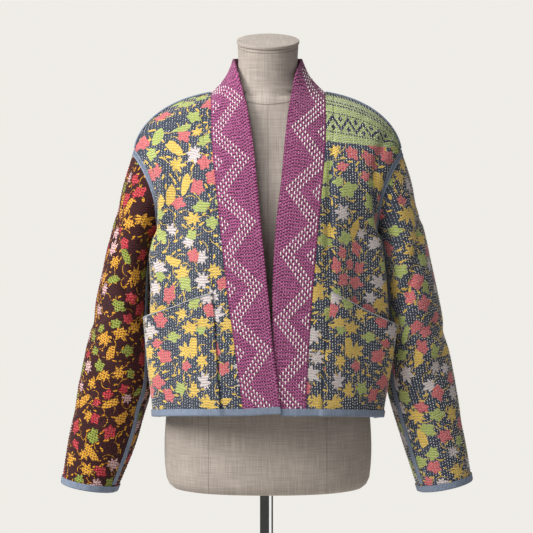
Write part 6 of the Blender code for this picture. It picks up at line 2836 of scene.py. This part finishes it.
@dataclass(frozen=True)
class Studio:
    """The photograph's view: a far, narrow camera, soft light from the left and a pale floor."""

    image: int = 533
    sensor: float = 36.0
    focal_pixels: float = 2155.7
    distance: float = 3.6
    elevation: float = math.radians(4)
    aim: tuple[float, float, float] = (0.0, 0.0, 1.10)
    backdrop: Colour = (0.865, 0.845, 0.800)
    ambient: Colour = (0.236, 0.231, 0.227)
    floor_radius: float = 2.4
    floor_points: int = 96
    floor_drop: float = 0.0005

    def camera(self) -> None:
        """Puts the camera at the photograph's angle."""
        data = bpy.data.cameras.new("camera")
        data.sensor_width = self.sensor
        data.lens = self.focal_pixels * self.sensor / self.image
        made = linked("camera", data)
        aim = Vector(self.aim)
        away = Vector((0, -math.cos(self.elevation), math.sin(self.elevation))) * self.distance
        made.location = aim + away
        made.rotation_euler = (-away).to_track_quat("-Z", "Y").to_euler()
        bpy.context.scene.camera = made

    def light(self, name: str, place: tuple[float, float, float], size: float, power: float,
              colour: Colour = (1, 1, 1)) -> Object:
        """Adds a soft square light that faces the jacket.

        Args:
            name: its name.
            place: where it is.
            size: its width.
            power: its watts.
            colour: its colour.

        Returns:
            The light.
        """
        data = bpy.data.lights.new(name, "AREA")
        data.size, data.energy, data.color = size, power, colour
        made = linked(name, data)
        made.location = place
        made.rotation_euler = (Vector(self.aim) - Vector(place)).to_track_quat("-Z", "Y").to_euler()
        return made

    def world(self) -> None:
        """A pale backdrop, with a dimmer light of its own on the object."""
        world = bpy.data.worlds.new("studio")
        bpy.context.scene.world = world
        world.use_nodes = True
        g = Graph(world.node_tree)
        seen, lit = g.node("ShaderNodeBackground"), g.node("ShaderNodeBackground")
        g.feed(seen.inputs["Color"], self.backdrop)
        g.feed(lit.inputs["Color"], self.ambient)
        both, path = g.node("ShaderNodeMixShader"), g.node("ShaderNodeLightPath")
        g.feed(lit.inputs["Strength"], g.math("MULTIPLY_ADD", path.outputs["Is Glossy Ray"], -0.7, 1.0))
        g.feed(both.inputs[0], path.outputs["Is Camera Ray"])
        g.feed(both.inputs[1], lit.outputs[0])
        g.feed(both.inputs[2], seen.outputs[0])
        g.feed(world.node_tree.nodes["World Output"].inputs["Surface"], both.outputs[0])

    def floor(self) -> None:
        """A plain pale disc, out of the camera's view."""
        made = Finish("pale_floor")
        wear = made.graph.noise(made.graph.place(), 3.0, 3.0)
        material = made.finish(made.graph.mix(wear, (0.74, 0.72, 0.69), (0.80, 0.78, 0.75)), 0.7)
        angle = turn_angles(self.floor_points)
        rim = np.stack([np.cos(angle), np.sin(angle), 0 * angle - self.floor_drop], axis=-1)
        rim = rim * (self.floor_radius, self.floor_radius, 1)
        mesh = bpy.data.meshes.new("floor")
        mesh.from_pydata(rim.tolist(), [], [list(range(self.floor_points))])
        mesh.materials.append(material)
        linked("floor", mesh)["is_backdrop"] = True

    def build(self) -> None:
        """Sets up the whole studio."""
        self.camera()
        self.world()
        self.floor()
        self.light("key", (-2.6, -1.6, 2.9), 1.7, 138.0, (1.0, 0.985, 0.96))
        self.light("front", (-0.9, -1.5, 3.6), 1.2, 46.0)
        self.light("behind", (0.3, 3.4, 1.7), 2.0, 60.0)
        self.light("rim", (1.8, 1.8, 2.4), 1.0, 6.0)
        card = self.light("card", (2.09, -0.68, 0.9), 2.0, 15.0)
        card.visible_diffuse = False
        view = bpy.context.scene.view_settings
        view.view_transform, view.look = "Standard", "None"


def corners(box: object) -> list[list[float]]:
    """A box's two corners as plain lists."""
    return [[float(value) for value in corner] for corner in box]


def main() -> None:
    """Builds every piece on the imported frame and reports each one."""
    logging.basicConfig(level=logging.INFO, format="%(name)s: %(message)s")
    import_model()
    solid = corners(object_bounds())
    Studio().build()
    effects = Effects()
    jacket = Jacket(effects)
    jacket.build()
    linen = Linen("linen_cover", (0.375, 0.327, 0.288), (0.460, 0.404, 0.358)).build(effects)
    steel = PolishedSteel("polished_steel", (0.72, 0.72, 0.72)).build(effects)
    form, stand = DressForm(), Stand()
    dressed = zip(form.build(linen) + stand.build(steel),
                  ("form_body", "form_cap", "stand_pole", "stand_base"),
                  ("linen_cover", "linen_cover", "polished_steel", "polished_steel"))
    for made, node, slot in dressed:
        jacket.place(made, slot, node)
    {"cad": solid, "visual": corners(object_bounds())}


if __name__ == "__main__":
    main()
